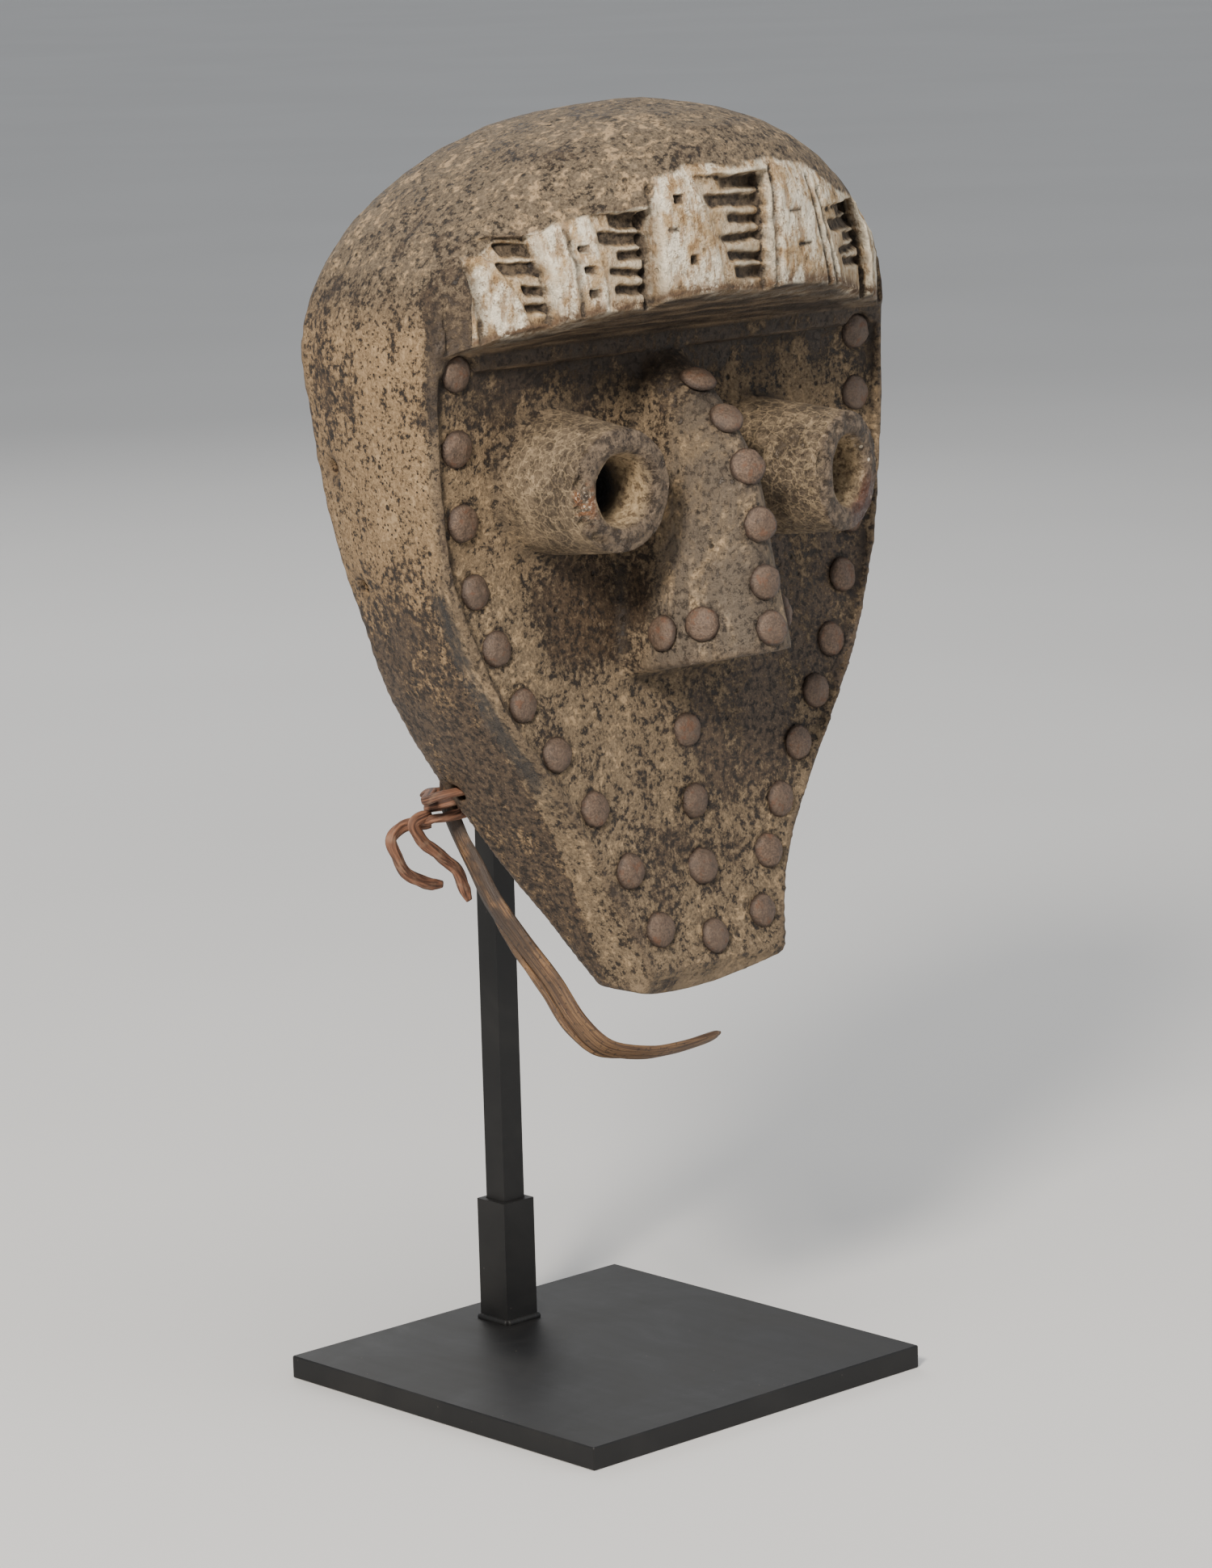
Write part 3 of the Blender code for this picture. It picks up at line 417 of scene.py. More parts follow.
# The solid's ladders: left, right and top; and the plain wood between them
LADDER_BEDS = (
    (-0.0722, -0.0594, 0.3415), (-0.0475, -0.031, 0.3476), (-0.0145, 0.0095, 0.3567),
    (0.0352, 0.0678, 0.344),
)
CLEAR_OF_LADDERS = ((-0.0585, -0.049), (-0.03, -0.016), (0.011, 0.034), (0.0695, 0.078))
PLUG_MARGIN = 0.0008


def merged_copy(node):
    """A CAD node's mesh with its loose triangles joined."""
    form = bmesh.new()
    form.from_mesh(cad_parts[node].data)
    bmesh.ops.remove_doubles(form, verts=form.verts, dist=0.00001)
    return form


def visor_profile(form):
    """Heights, and at each the even powers of x that follow the visor's front between the ladders."""
    surface = BVHTree.FromBMesh(form)
    heights = np.arange(0.3265, 0.3596, 0.003)
    rows = []
    for height in heights:
        found = []
        for low, high in CLEAR_OF_LADDERS:
            for x in np.linspace(low, high, 6):
                hit = surface.ray_cast(Vector((x, -1, height)), Vector((0, 1, 0)))[0]
                if hit and hit.y < UNDERSIDE_Y:
                    found.append((x / MASK_HALF, hit.y))
        x, y = np.array(found).T
        rows.append(np.polyfit(x**2, y, 3))
    return heights, np.array(rows)


def visor_front(x, z):
    """How far forward the visor's uncut front stands."""
    across = (x / MASK_HALF) ** 2
    terms = [np.interp(z, VISOR_HEIGHTS, VISOR_ROWS[:, i]) for i in range(4)]
    return ((terms[0] * across + terms[1]) * across + terms[2]) * across + terms[3]


def under_visor(y):
    return UNDERSIDE_Z + (UNDERSIDE_Y - y) * math.tan(VISOR_SLOPE)


def fill_ladders(form):
    """Close the solids' plain ladders, so that the visor can be cut again with its own wear."""
    for left, right, top in LADDER_BEDS:
        xs = np.linspace(left - PLUG_MARGIN, right + PLUG_MARGIN, 9)
        rows = []
        for height in np.linspace(UNDERSIDE_Z, top + PLUG_MARGIN, 12):
            ys = visor_front(xs, np.full(9, height))
            outline = [(x, y, 0) for x, y in zip(xs, ys)]
            outline += [(x, y, VISOR_THICK) for x, y in zip(xs[::-1], ys[::-1])]
            rows.append([
                form.verts.new((x, y + back, max(height, under_visor(y) + 0.0002))) for x, y, back in outline
            ])
        for low, high in zip(rows, rows[1:]):
            for i in range(len(low)):
                j = (i + 1) % len(low)
                form.faces.new((low[i], low[j], high[j], high[i]))
        form.faces.new(rows[0][::-1])
        form.faces.new(rows[-1])


shell = merged_copy("mask")
VISOR_HEIGHTS, VISOR_ROWS = visor_profile(shell)
fill_ladders(shell)
rough_mesh = bpy.data.meshes.new("mask_rough")
shell.to_mesh(rough_mesh)
shell.free()
mask = new_object("carved_mask", rough_mesh)


def settle(item):
    """Make what an object's modifiers give its own mesh."""
    seen = item.evaluated_get(bpy.context.evaluated_depsgraph_get())
    mesh = bpy.data.meshes.new_from_object(seen)
    item.modifiers.clear()
    item.data = mesh


def work(item, kind, **settings):
    """Apply one modifier to an object's mesh."""
    modifier = item.modifiers.new("step", kind)
    for name, value in settings.items():
        setattr(modifier, name, value)
    settle(item)


work(mask, "REMESH", mode="VOXEL", voxel_size=FINE_VOXEL * 1)
work(mask, "SMOOTH", factor=0.5, iterations=3)


def read(items, name, width, kind=np.float32):
    """A value of each of a mesh's points or edges, one row for each."""
    values = np.empty(len(items) * width, kind)
    items.foreach_get(name, values)
    return values.reshape(-1, width)


def places_of(mesh):
    return read(mesh.vertices, "co", 3).astype(float)


def normals_of(mesh):
    return read(mesh.vertex_normals, "vector", 3).astype(float)


def edges_of(mesh):
    return read(mesh.edges, "vertices", 2, np.int32)


def refine_visor(mesh):
    """Split the faces on and just under the visor's front, where the finest cuts go."""
    form = bmesh.new()
    form.from_mesh(mesh)
    points = places_of(mesh)
    front = visor_front(points[:, 0], points[:, 2])
    near = (points[:, 1] < front + 0.01) & (np.abs(points[:, 0]) < VISOR_HALF)
    near &= (points[:, 2] < VISOR_TOP) & (points[:, 2] > UNDERSIDE_Z - 0.001)
    edges = [edge for edge in form.edges if near[edge.verts[0].index] and near[edge.verts[1].index]]
    bmesh.ops.subdivide_edges(form, edges=edges, cuts=1, use_grid_fill=True)
    bmesh.ops.triangulate(form, faces=form.faces)
    form.to_mesh(mesh)
    form.free()


refine_visor(mask.data)


# Visor: five proud ribs with ladders of notches between them, cut with a knife. Each ladder's bed falls
# away to the right, against the next rib's step.
VISOR_FOOT = 0.318
# Ladders: left edge at the top and at the foot, right edge likewise, top, fall, and the rungs' heights
LADDERS = (
    (-0.0752, -0.065, -0.0612, -0.0575, 0.3425, 0.0036, (0.3385, 0.3334, 0.3277, 0.3228)),
    (-0.049, -0.0455, -0.0302, -0.03, 0.3478, 0.0048, (0.3448, 0.3402, 0.3357, 0.3311, 0.3263)),
    (-0.02, -0.0085, 0.0088, 0.0098, 0.3562, 0.0052, (0.3532, 0.3484, 0.3434, 0.338, 0.333, 0.3285)),
    (0.032, 0.044, 0.066, 0.07, 0.344, 0.0038, (0.3412, 0.3374, 0.3338, 0.3302, 0.3266)),
)
RUNG_HALF, RUNG_CUT, RUNG_TILT = 0.0015, 0.0018, -0.055
# Narrow grooves: x at the top and at the foot, depth, half width and top
GROOVES = (
    (-0.077, -0.0755, 0.0012, 0.0009, 0.336), (-0.054, -0.0515, 0.0009, 0.0007, 0.345),
    (-0.0313, -0.0312, 0.0018, 0.001, 0.355), (0.027, 0.0375, 0.0016, 0.0009, 0.354),
    (0.0315, 0.042, 0.0012, 0.0008, 0.35), (0.0715, 0.073, 0.0012, 0.0008, 0.343),
    (0.01, 0.0108, 0.0016, 0.0008, 0.358),
)
# Small square notches and round pits in the ribs: x, z, half width, half height and depth
NICKS = (
    (-0.0505, 0.3382, 0.0013, 0.001, 0.0016), (-0.0497, 0.3325, 0.0015, 0.0011, 0.0017),
    (-0.049, 0.3262, 0.0013, 0.0012, 0.0015), (-0.0236, 0.35, 0.0014, 0.0012, 0.0022),
    (-0.0203, 0.3335, 0.0012, 0.0012, 0.002), (-0.0262, 0.342, 0.0016, 0.0006, 0.0006),
    (0.019, 0.344, 0.003, 0.0005, 0.0006), (0.023, 0.3345, 0.0034, 0.0005, 0.0007),
)
# Upper border of the white clay: x, and its height there
BAND_TOP = (
    (-0.0785, -0.0775, -0.06, -0.05, -0.031, -0.029, -0.018, -0.005, 0.01, 0.03, 0.045, 0.075, 0.082),
    (0.3, 0.337, 0.344, 0.3475, 0.349, 0.356, 0.36, 0.3585, 0.36, 0.356, 0.348, 0.343, 0.336),
)


def step(value, low, high):
    """0 below low and 1 above high, with a soft step between."""
    t = np.clip((value - low) / (high - low), 0, 1)
    return t * t * (3 - 2 * t)


def cloud(points, size, seed):
    """Smooth noise of about -1 to 1 at each point."""
    shift = Vector((seed * 7.3, seed * 3.1, seed * 5.7))
    return np.array([noise.noise(Vector(point) / size + shift) for point in points])


def visor_cut(x, z, wander):
    """Depth of the cut, and shares of dark recess (dark floors in the notches and nicks, painted shade in the
    grooves), ladder and white clay, where x and z lie on the visor.
    """
    depth, cut_floors_and_shade, beds = np.zeros_like(x), np.zeros_like(x), np.zeros_like(x)
    band_top = np.interp(x, *BAND_TOP) + 0.0012 * wander
    for left_top, left_foot, right_top, right_foot, top, fall, rungs in LADDERS:
        up = (z - VISOR_FOOT) / (top - VISOR_FOOT)
        left = left_foot + (left_top - left_foot) * up + 0.0006 * wander
        right = right_foot + (right_top - right_foot) * up
        share = (x - left) / (right - left)
        bed = step(share, 0.0, 0.1) * step(right - x, 0, 0.0006) * step(top + 0.0005 * wander - z, 0, 0.0009)
        depth += bed * (0.0005 + fall * np.clip(share, 0, 1))
        beds = np.maximum(beds, bed)
        middle = (left + right) / 2
        for k, rung in enumerate(rungs):
            tilt = RUNG_TILT * (1 + 0.9 * math.sin(2.4 * k + 11 * left_top / MASK_HALF))
            off = np.abs(z - rung - tilt * (x - middle) - 0.0006 * wander)
            begin = 0.2 + 0.14 * math.sin(3.7 * k + 1)
            tall = RUNG_HALF * (1 + 0.25 * math.sin(5.1 * k + 2))
            notch = bed * step(tall - off, -0.0004, 0.0006) * step(share + 0.05 * wander, begin, begin + 0.16)
            depth += notch * RUNG_CUT
            cut_floors_and_shade = np.maximum(cut_floors_and_shade, notch)
    for top_x, foot_x, cut, half, top in GROOVES:
        line = foot_x + (top_x - foot_x) * (z - VISOR_FOOT) / (top - VISOR_FOOT) + 0.0004 * wander
        groove = step(half - np.abs(x - line), -half, half) * step(top - z, 0, 0.002)
        depth += groove * cut
        # The grooves are darkened as well: painted shade in the deep cuts.
        cut_floors_and_shade = np.maximum(cut_floors_and_shade, 0.8 * groove)
    for nick_x, nick_z, half, tall, cut in NICKS:
        nick = step(half - np.abs(x - nick_x), -0.0003, 0.0004)
        nick = nick * step(tall - np.abs(z - nick_z), -0.0003, 0.0004)
        depth += nick * cut
        cut_floors_and_shade = np.maximum(cut_floors_and_shade, nick)
    band = step(band_top - z, 0, 0.0012)
    return depth, cut_floors_and_shade, beds, band


def cut_visor(points):
    """Push everything that stands in front of the cut surface back to it."""
    x, y, z = points.T
    front = visor_front(x, z)
    near = (y < front + VISOR_THICK) & (np.abs(x) < VISOR_HALF) & (z < VISOR_TOP)
    near &= (z > UNDERSIDE_Z - 0.001) & (y < UNDERSIDE_Y + 0.004)
    spots = points[near]
    x, y, z = spots.T
    foot = np.maximum(z, under_visor(visor_front(x, np.full_like(x, VISOR_FOOT))))
    front = visor_front(x, foot)
    beside = 0.0005
    slope = (visor_front(x + beside, foot) - visor_front(x - beside, foot)) / (2 * beside)
    wander = cloud(spots, 0.004, 1)
    depth, _, _, _ = visor_cut(x, foot, wander)
    depth += 0.0003 * (1 + cloud(spots, 0.0025, 2)) * step(np.interp(x, *BAND_TOP) - foot, 0, 0.001)
    target = front + depth * np.sqrt(1 + slope**2)
    points[near, 1] = np.maximum(y, target)


# Eye tubes: short round tubes left standing on the face. The left one points ahead, the right one out to
# its side. Their mouths are scorched, and resin and knocks have worn the rims.
EYES = (
    (Vector((-0.0438, -0.06582, 0.27261)), Vector((-0.0175, -0.9998, 0))),
    (Vector((0.0438, -0.06582, 0.26861)), Vector((0.2924, -0.9563, 0))),
)
EYE_OUTSIDE, FACE_Y = 0.0225, -0.0355


def beside_tube(points, eye):
    """Distance behind the tube's end, distance from its axis, and the turn round it from the left."""
    end, axis = (np.array(part) for part in eye)
    behind = -(points - end) @ axis
    off = points - end + behind[:, None] * axis
    return behind, np.linalg.norm(off, axis=1), np.arctan2(off[:, 2], -off[:, 0])


def chip_rims(points):
    """Narrow the mouths inside their broad, uneven rims, and break the rims: most at the left tube's left."""
    for k, eye in enumerate(EYES):
        behind, away, turn = beside_tube(points, eye)
        mouth = (behind > 0) & (behind < 0.013) & (away < 0.0138)
        off = away[mouth] * (1 + 0.07 * cloud(points[mouth], 0.006, 8)) + 0.0008 * np.cos(turn[mouth])
        floor = np.interp(off, (0.0074, 0.0092, 0.0106, 0.0125), (0.0125, 0.004, 0.001, 0.0002))
        points[mouth] += np.maximum(0, behind[mouth] - floor)[:, None] * np.array(eye[1])
        behind, away, turn = beside_tube(points, eye)
        near = (np.abs(behind) < 0.006) & (away < 0.0185)
        spots = points[near]
        ragged = 0.5 + 0.5 * cloud(spots, 0.0035, 4 + k)
        at_left = step(np.cos(turn[near] + (0.5, -0.6)[k]), 0.35, 0.9)
        outer = step(away[near], 0.0125, 0.0165)
        broken = 0.0004 + 0.0008 * ragged + 0.002 * at_left * step(ragged, 0.35, 0.7)
        loss = outer * broken + 0.0003 * ragged
        points[near] -= np.maximum(0, loss - behind[near])[:, None] * np.array(eye[1])


def inside_share(points, normals):
    """1 in the hollow, 0 outside."""
    heart = np.zeros_like(points)
    heart[:, 1], heart[:, 2] = 0.004, np.clip(points[:, 2], 0.16, 0.335)
    facing = np.einsum("ij,ij->i", normals, points - heart)
    return ((facing < 0) & (points[:, 1] > -0.033)).astype(float)


def even_out(values, edges, rounds):
    """Average a value, or a place, with its neighbours' along the mesh's edges."""
    values = values.copy()
    count = np.maximum(np.bincount(edges.ravel(), minlength=len(values)), 1)
    for _ in range(rounds):
        for column in values.reshape(len(values), -1).T:
            total = np.bincount(edges[:, 0], column[edges[:, 1]], len(values))
            total += np.bincount(edges[:, 1], column[edges[:, 0]], len(values))
            column[:] = 0.5 * column + 0.5 * total / count
    return values


def soften(points, edges, share, rounds):
    """Round the form off, as far as share says at each point."""
    points += (even_out(points, edges, rounds) - points) * share[:, None]


def fillets(points):
    """Where the nose and the tubes grow out of the face, and the corners at the nose's base."""
    x, y, z = points.T
    low = step(-0.033 - y, 0, 0.002) * step(y, -0.052, -0.045)
    roots = (np.abs(x) < 0.032) * (z > 0.204) * (z < 0.305)
    for eye in EYES:
        _, away, _ = beside_tube(points, eye)
        roots = np.maximum(roots, away < 0.029)
    corner = 0
    for side in (-1, 1):
        far = np.linalg.norm(points - np.array((side * 0.0205, -0.052, 0.2165)), axis=1)
        corner = np.maximum(corner, step(0.014 - far, 0, 0.006))
    return np.maximum(low * roots, corner)


def hand_work(points, normals, inside):
    """The small swells of hand carving outside, and the adze's shallow scoops inside."""
    swell = 0.00045 * cloud(points, 0.022, 11) + 0.00022 * cloud(points, 0.008, 12)
    swell += 0.0001 * cloud(points, 0.003, 13)
    scoops = np.zeros(len(points))
    for i in np.flatnonzero(inside > 0.5):
        x, y, z = points[i]
        scoops[i] = noise.voronoi(Vector((x / 0.01, y / 0.01, z / 0.017)))[0][0]
    change = swell * (1 - 0.4 * inside) + 0.0011 * (scoops - 0.4) * inside
    points += normals * change[:, None]


points = places_of(mask.data)
edges = edges_of(mask.data)
normals = normals_of(mask.data)
inside = even_out(inside_share(points, normals), edges, 3)
soften(points, edges, fillets(points), 11)
hand_work(points, normals, inside)
cut_visor(points)
soften(points, edges, (points[:, 2] > UNDERSIDE_Z - 0.003) * (points[:, 1] < UNDERSIDE_Y) * 1.0, 1)
chip_rims(points)
mask.data.vertices.foreach_set("co", points.ravel())
mask.data.update()
triangles = sum(len(face.vertices) - 2 for face in mask.data.polygons)
work(mask, "DECIMATE", ratio=min(1, SHOWN_TRIANGLES / triangles))


def save(mesh, name, values):
    """Keep a value at each point of a mesh, for its finish to read."""
    attribute = mesh.attributes.new(name, "FLOAT", "POINT")
    attribute.data.foreach_set("value", np.asarray(values, np.float32))


SHANK_LENGTH = 0.007


def tack_seats():
    """Each tack's node, the middle of its head's underside and the way it points."""
    for name in sorted(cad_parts):
        if name.startswith("tack_"):
            spots = np.unique(places_of(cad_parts[name].data).round(7), axis=0)
            tip = spots[np.argmax(np.linalg.norm(spots - spots.mean(0), axis=1))]
            head = spots[np.linalg.norm(spots - tip, axis=1) > SHANK_LENGTH * 0.98].mean(0)
            axis = (head - tip) / np.linalg.norm(head - tip)
            yield name, tip + axis * SHANK_LENGTH, axis


SEATS = list(tack_seats())
# The face leans back from the chin up: heights, and where its border stands there
FACE_LEVELS, FACE_PLACES = (0.1718, 0.1972, 0.2226, 0.248), (-0.0448, -0.0417, -0.038, -0.0354)


def note_wear(mesh):
    """Record where the mask is worn, dirty, white, scorched or hollowed, and where shade is painted in its
    cuts and bores, from its shape alone.
    """
    points, edges, normals = places_of(mesh), edges_of(mesh), normals_of(mesh)
    x, y, z = points.T
    for name, rounds in (("edge", 5), ("form", 40)):
        settled = even_out(points, edges, rounds)
        save(mesh, name, even_out(np.einsum("ij,ij->i", points - settled, normals), edges, 2) * 1000)
    save(mesh, "inside", even_out(inside_share(points, normals), edges, 4))
    front = visor_front(x, z)
    _, cut_floors_and_shade, beds, band = visor_cut(x, z, cloud(points, 0.004, 1))
    above = z - under_visor(y)
    at_front = np.abs(y - front - 0.0035) < 0.0075
    on_visor = band * at_front * step(0.08 - x, 0, 0.0008) * step(above, -0.0004, 0.001)
    save(mesh, "visor", on_visor)
    save(mesh, "notch", cut_floors_and_shade * on_visor)
    save(mesh, "ladder", beds * on_visor)
    save(mesh, "lip", on_visor * step(0.0045 - above, 0, 0.0035))
    save(mesh, "under", step(-normals[:, 2], 0.5, 0.8) * (y < -0.036) * (z > 0.3))
    tube, rim, bore, bore_shade = np.zeros((4, len(points)))
    for eye in EYES:
        behind, away, _ = beside_tube(points, eye)
        near = step(EYE_OUTSIDE - away, 0, 0.001) * (behind > -0.003) * step(FACE_Y - y, 0.0015, 0.006)
        tube = np.maximum(tube, near)
        in_bore = step(0.0108 - away, 0, 0.0012) * (behind > -0.003) * (behind < 0.05)
        rim = np.maximum(rim, near * step(0.0028 - behind, 0, 0.0016) * (1 - in_bore))
        bore = np.maximum(bore, in_bore)
        # Deep in each bore the colour is painted near black: painted shade in the hole.
        bore_shade = np.maximum(bore_shade, in_bore * step(behind, 0.004, 0.016))
    save(mesh, "tube", tube)
    save(mesh, "rim", rim)
    save(mesh, "bore", bore)
    save(mesh, "bore_shade", bore_shade)
    behind_face = y - np.interp(z, FACE_LEVELS, FACE_PLACES)
    bevel = step(behind_face, 0.0004, 0.0014) * step(0.0078 - behind_face, 0, 0.0025) * (x < -0.03)
    save(mesh, "bevel", bevel * step(z, 0.18, 0.194) * step(0.256 - z, 0, 0.014))
    tree = KDTree(len(SEATS))
    for k, (_, seat, _) in enumerate(SEATS):
        tree.insert(seat, k)
    tree.balance()
    reach = np.array([tree.find(point)[2] for point in points])
    save(mesh, "tack_ring", step(0.0082 - reach, 0, 0.0026))


note_wear(mask.data)


def wood_finish():
    """Smoked hardwood under a dry crust of clay, with white clay on the visor and old resin at the eyes."""
    finish, place = new_finish("carved_wood")
    ahead, height = (place.add("ShaderNodeSeparateXYZ", None, {0: place}, axis) for axis in "YZ")
    edge, form, inside, under, visor, notch, ladder = (
        place.attribute(name) for name in ("edge", "form", "inside", "under", "visor", "notch", "ladder")
    )
    lip, tube, rim, bore, bore_shade, bevel, ring = (
        place.attribute(name) for name in ("lip", "tube", "rim", "bore", "bore_shade", "bevel", "tack_ring")
    )
    upright = place.moved((1, 1, 0.45))
    broad = place.grain(0.04, 3, 0.6)
    mottle = upright.grain(0.01, 6, 0.68, 0.4)
    speckle = place.grain(0.002, 5, 0.74)
    dust = place.grain(0.0008, 3, 0.7)
    pits = place.cells(0.0017)
    big_pits = place.cells(0.005)
    flakes = place.moved((1, 1, 1.5)).grain(0.004, 2, 0.4, 0.8)

    # Where the crust lies: thin where it is rubbed off and where shade is painted (below the eye tubes, on
    # the right cheek, by the chin, under the visor and down the lower flank), thick in patches, and pitted
    crown = height.rise(0.312, 0.336)
    flank = ahead.rise(-0.0365, -0.032) * (1 - crown)
    nose = ahead.rise(-0.046, -0.054) * height.rise(0.306, 0.3) * height.rise(0.205, 0.214)
    on_face = (1 - crown) * (1 - flank)
    worn_and_shade = place.around((-0.034, -0.038, 0.236), 0.026) * 0.34
    worn_and_shade = worn_and_shade + place.around((0.05, -0.036, 0.226), 0.04) * 0.3
    worn_and_shade = worn_and_shade + place.around((0.022, -0.042, 0.192), 0.03) * 0.3
    worn_and_shade = worn_and_shade + place.around((-0.012, -0.047, 0.16), 0.022) * 0.12
    worn_and_shade = worn_and_shade + height.rise(0.286, 0.306) * on_face * 0.22 + flank * height.rise(0.262, 0.215) * 0.3
    cover = broad * 0.5 + mottle * 0.8 + speckle * 1.1 - worn_and_shade * 0.85 + crown * 0.02
    clay = cover.rise(1.03, 1.2)
    thick = cover.rise(1.18, 1.36)
    pit = pits.rise(0.28, 0.12) * (broad * 0.8 + mottle * 0.9).rise(0.7, 0.96) * (flank * 0.65 + 0.35)
    deep_pit = big_pits.rise(0.2, 0.09) * mottle.rise(0.48, 0.6)
    spots = speckle.rise(0.45, 0.38) * mottle.rise(0.64, 0.44)

    # Smoked wood, and clay that is ochre on the flanks, tan on the face and grey on the crown
    bare = speckle.rise(0.35, 0.6).blend((0.013, 0.009, 0.006), (0.075, 0.048, 0.028))
    bare = (dust.rise(0.54, 0.64) * speckle.rise(0.46, 0.56) * 0.7).blend(bare, (0.185, 0.13, 0.075))
    dusty = dust.rise(0.3, 0.7)
    ochre = dusty.blend((0.205, 0.132, 0.068), (0.375, 0.255, 0.138))
    tan = dusty.blend((0.13, 0.092, 0.055), (0.255, 0.185, 0.112))
    grey = dusty.blend((0.092, 0.068, 0.045), (0.205, 0.155, 0.1))
    crust = crown.blend(flank.blend(tan, ochre), grey)
    colour = (clay * 0.88).blend(bare, crust)
    chin_facet = height.rise(0.134, 0.127) * ahead.rise(-0.04, -0.046)
    # Painted shadow of the visor: the face is painted dark in a strip just under it.
    visor_shadow = height.rise(0.288, 0.3) * on_face
    streaks = place.moved((0.12, 0.8, 1)).grain(0.003, 5, 0.7)
    under_wood = streaks.rise(0.4, 0.68).blend((0.03, 0.021, 0.014), (0.185, 0.128, 0.076))
    colour = painted(
        colour,
        (thick * flakes.rise(0.5, 0.57) * 0.8, (0.34, 0.235, 0.13)),
        (nose * mottle.rise(0.66, 0.46) * 0.85, (0.105, 0.083, 0.062)),
        (edge.rise(0.03, 0.2) * 0.5, (0.1, 0.07, 0.046)),
        (edge.rise(-0.02, -0.2) * 0.7, (0.02, 0.014, 0.01)),
        (spots * 0.85 * (1 - crown * 0.5) * (1 - nose * 0.55), (0.02, 0.014, 0.01)),
        (pit.over(deep_pit) * 0.92, (0.008, 0.006, 0.0045)),
        (ring * speckle.rise(0.6, 0.4) * 0.7, (0.018, 0.013, 0.01)),
        (bevel * mottle.rise(0.66, 0.5) * 0.9, (0.03, 0.026, 0.023)),
        (chin_facet * mottle.rise(0.36, 0.5) * 0.7, (0.27, 0.195, 0.12)),
        (visor_shadow * mottle.rise(0.66, 0.4) * 0.7, (0.026, 0.018, 0.012)),
        (under * 0.9, under_wood),
    )

    # Tubes: a glaze crazed in a fine net, a burnt rim with rust and resin, and a hollowed bore that is
    # painted near black deep inside, as painted shade
    bend = place.add("ShaderNodeTexNoise", None, {"Vector": place, "Scale": 450.0, "Detail": 2.0}, "Color")
    inputs = {0: bend, 1: (0.003, 0.003, 0.003), 2: place}
    bend = bend.add("ShaderNodeVectorMath", {"operation": "MULTIPLY_ADD"}, inputs)
    craze = bend.cells(0.0034, "DISTANCE_TO_EDGE").rise(0.085, 0.025) * mottle.rise(0.3, 0.46)
    fine_craze = bend.cells(0.0017, "DISTANCE_TO_EDGE").rise(0.12, 0.03) * speckle.rise(0.46, 0.56)
    glaze = mottle.rise(0.36, 0.64).blend((0.065, 0.046, 0.029), (0.165, 0.12, 0.075))
    glaze = painted(
        glaze,
        (craze.over(fine_craze * 0.6) * 0.62, (0.36, 0.265, 0.155)),
        (pits.rise(0.2, 0.08) * 0.7, (0.014, 0.01, 0.007)),
    )
    burnt = speckle.rise(0.36, 0.64).blend((0.03, 0.02, 0.014), (0.155, 0.112, 0.075))
    chipped = place.around((-0.0595, -0.066, 0.27), 0.0085)
    resin = place.around((0.054, -0.064, 0.257), 0.014)
    burnt = painted(
        burnt,
        (chipped * flakes.rise(0.47, 0.54) * 0.8, (0.23, 0.09, 0.03)),
        (chipped * dust.rise(0.56, 0.64) * 0.8, (0.62, 0.52, 0.4)),
        (resin * 0.85, (0.06, 0.016, 0.008)),
    )
    hollowed = speckle.rise(0.34, 0.6).blend((0.13, 0.086, 0.048), (0.38, 0.275, 0.155))
    splashes = place.around((0.044, -0.056, 0.268), 0.022) * place.cells(0.0046).rise(0.15, 0.11)
    colour = painted(
        colour,
        (tube * 0.86, glaze),
        (rim * 0.92, burnt),
        (bore, bore_shade.blend(hollowed, (0.01, 0.008, 0.006))),
        (splashes * tube * (1 - bore) * 0.85, (0.66, 0.57, 0.44)),
    )

    # Visor: white clay, stained ochre and brown in runs, darker in the ladders and along the lower lip, with
    # a painted highlight on the ridges' edges and painted shade in the grooves
    stain = place.moved((1, 1, 0.7)).grain(0.0068, 5, 0.68)
    runs_down = place.moved((1.6, 1, 0.35)).grain(0.003, 4, 0.62)
    white = stain.rise(0.42, 0.6).blend((0.77, 0.69, 0.54), (0.43, 0.295, 0.155))
    white = painted(
        white,
        (runs_down.rise(0.5, 0.62) * 0.7, (0.27, 0.16, 0.074)),
        (ladder * 0.62, (0.4, 0.27, 0.14)),
        (speckle.rise(0.53, 0.63) * 0.75, (0.125, 0.07, 0.032)),
        # Painted highlight: the clay is painted lighter along the ridges' edges.
        (edge.rise(0.05, 0.3) * 0.55, (0.78, 0.69, 0.53)),
        (lip * (stain + speckle).rise(0.8, 1.00), (0.105, 0.062, 0.034)),
    )
    # No white clay in the cuts, where the dark recess shows; in the grooves this dark is painted shade.
    laid = visor * (1 - notch * 0.95) * (stain * -1 + speckle * 0.5 + edge * 1.4 + 0.92).rise(0.36, 0.62)
    recess = speckle.rise(0.35, 0.65).blend((0.022, 0.016, 0.012), (0.12, 0.088, 0.058))
    colour = laid.kept().blend((visor * 0.9).blend(colour, recess), white)

    # Raw adzed wood inside, and the relief and shine of it all
    raw = upright.moved((1, 1, 0.25)).grain(0.0032, 5, 0.6).rise(0.3, 0.72)
    raw = raw.blend((0.06, 0.034, 0.019), (0.155, 0.09, 0.05))
    raw = (mottle.rise(0.5, 0.72) * 0.6).blend(raw, (0.028, 0.018, 0.012))
    colour = inside.blend(colour, raw)

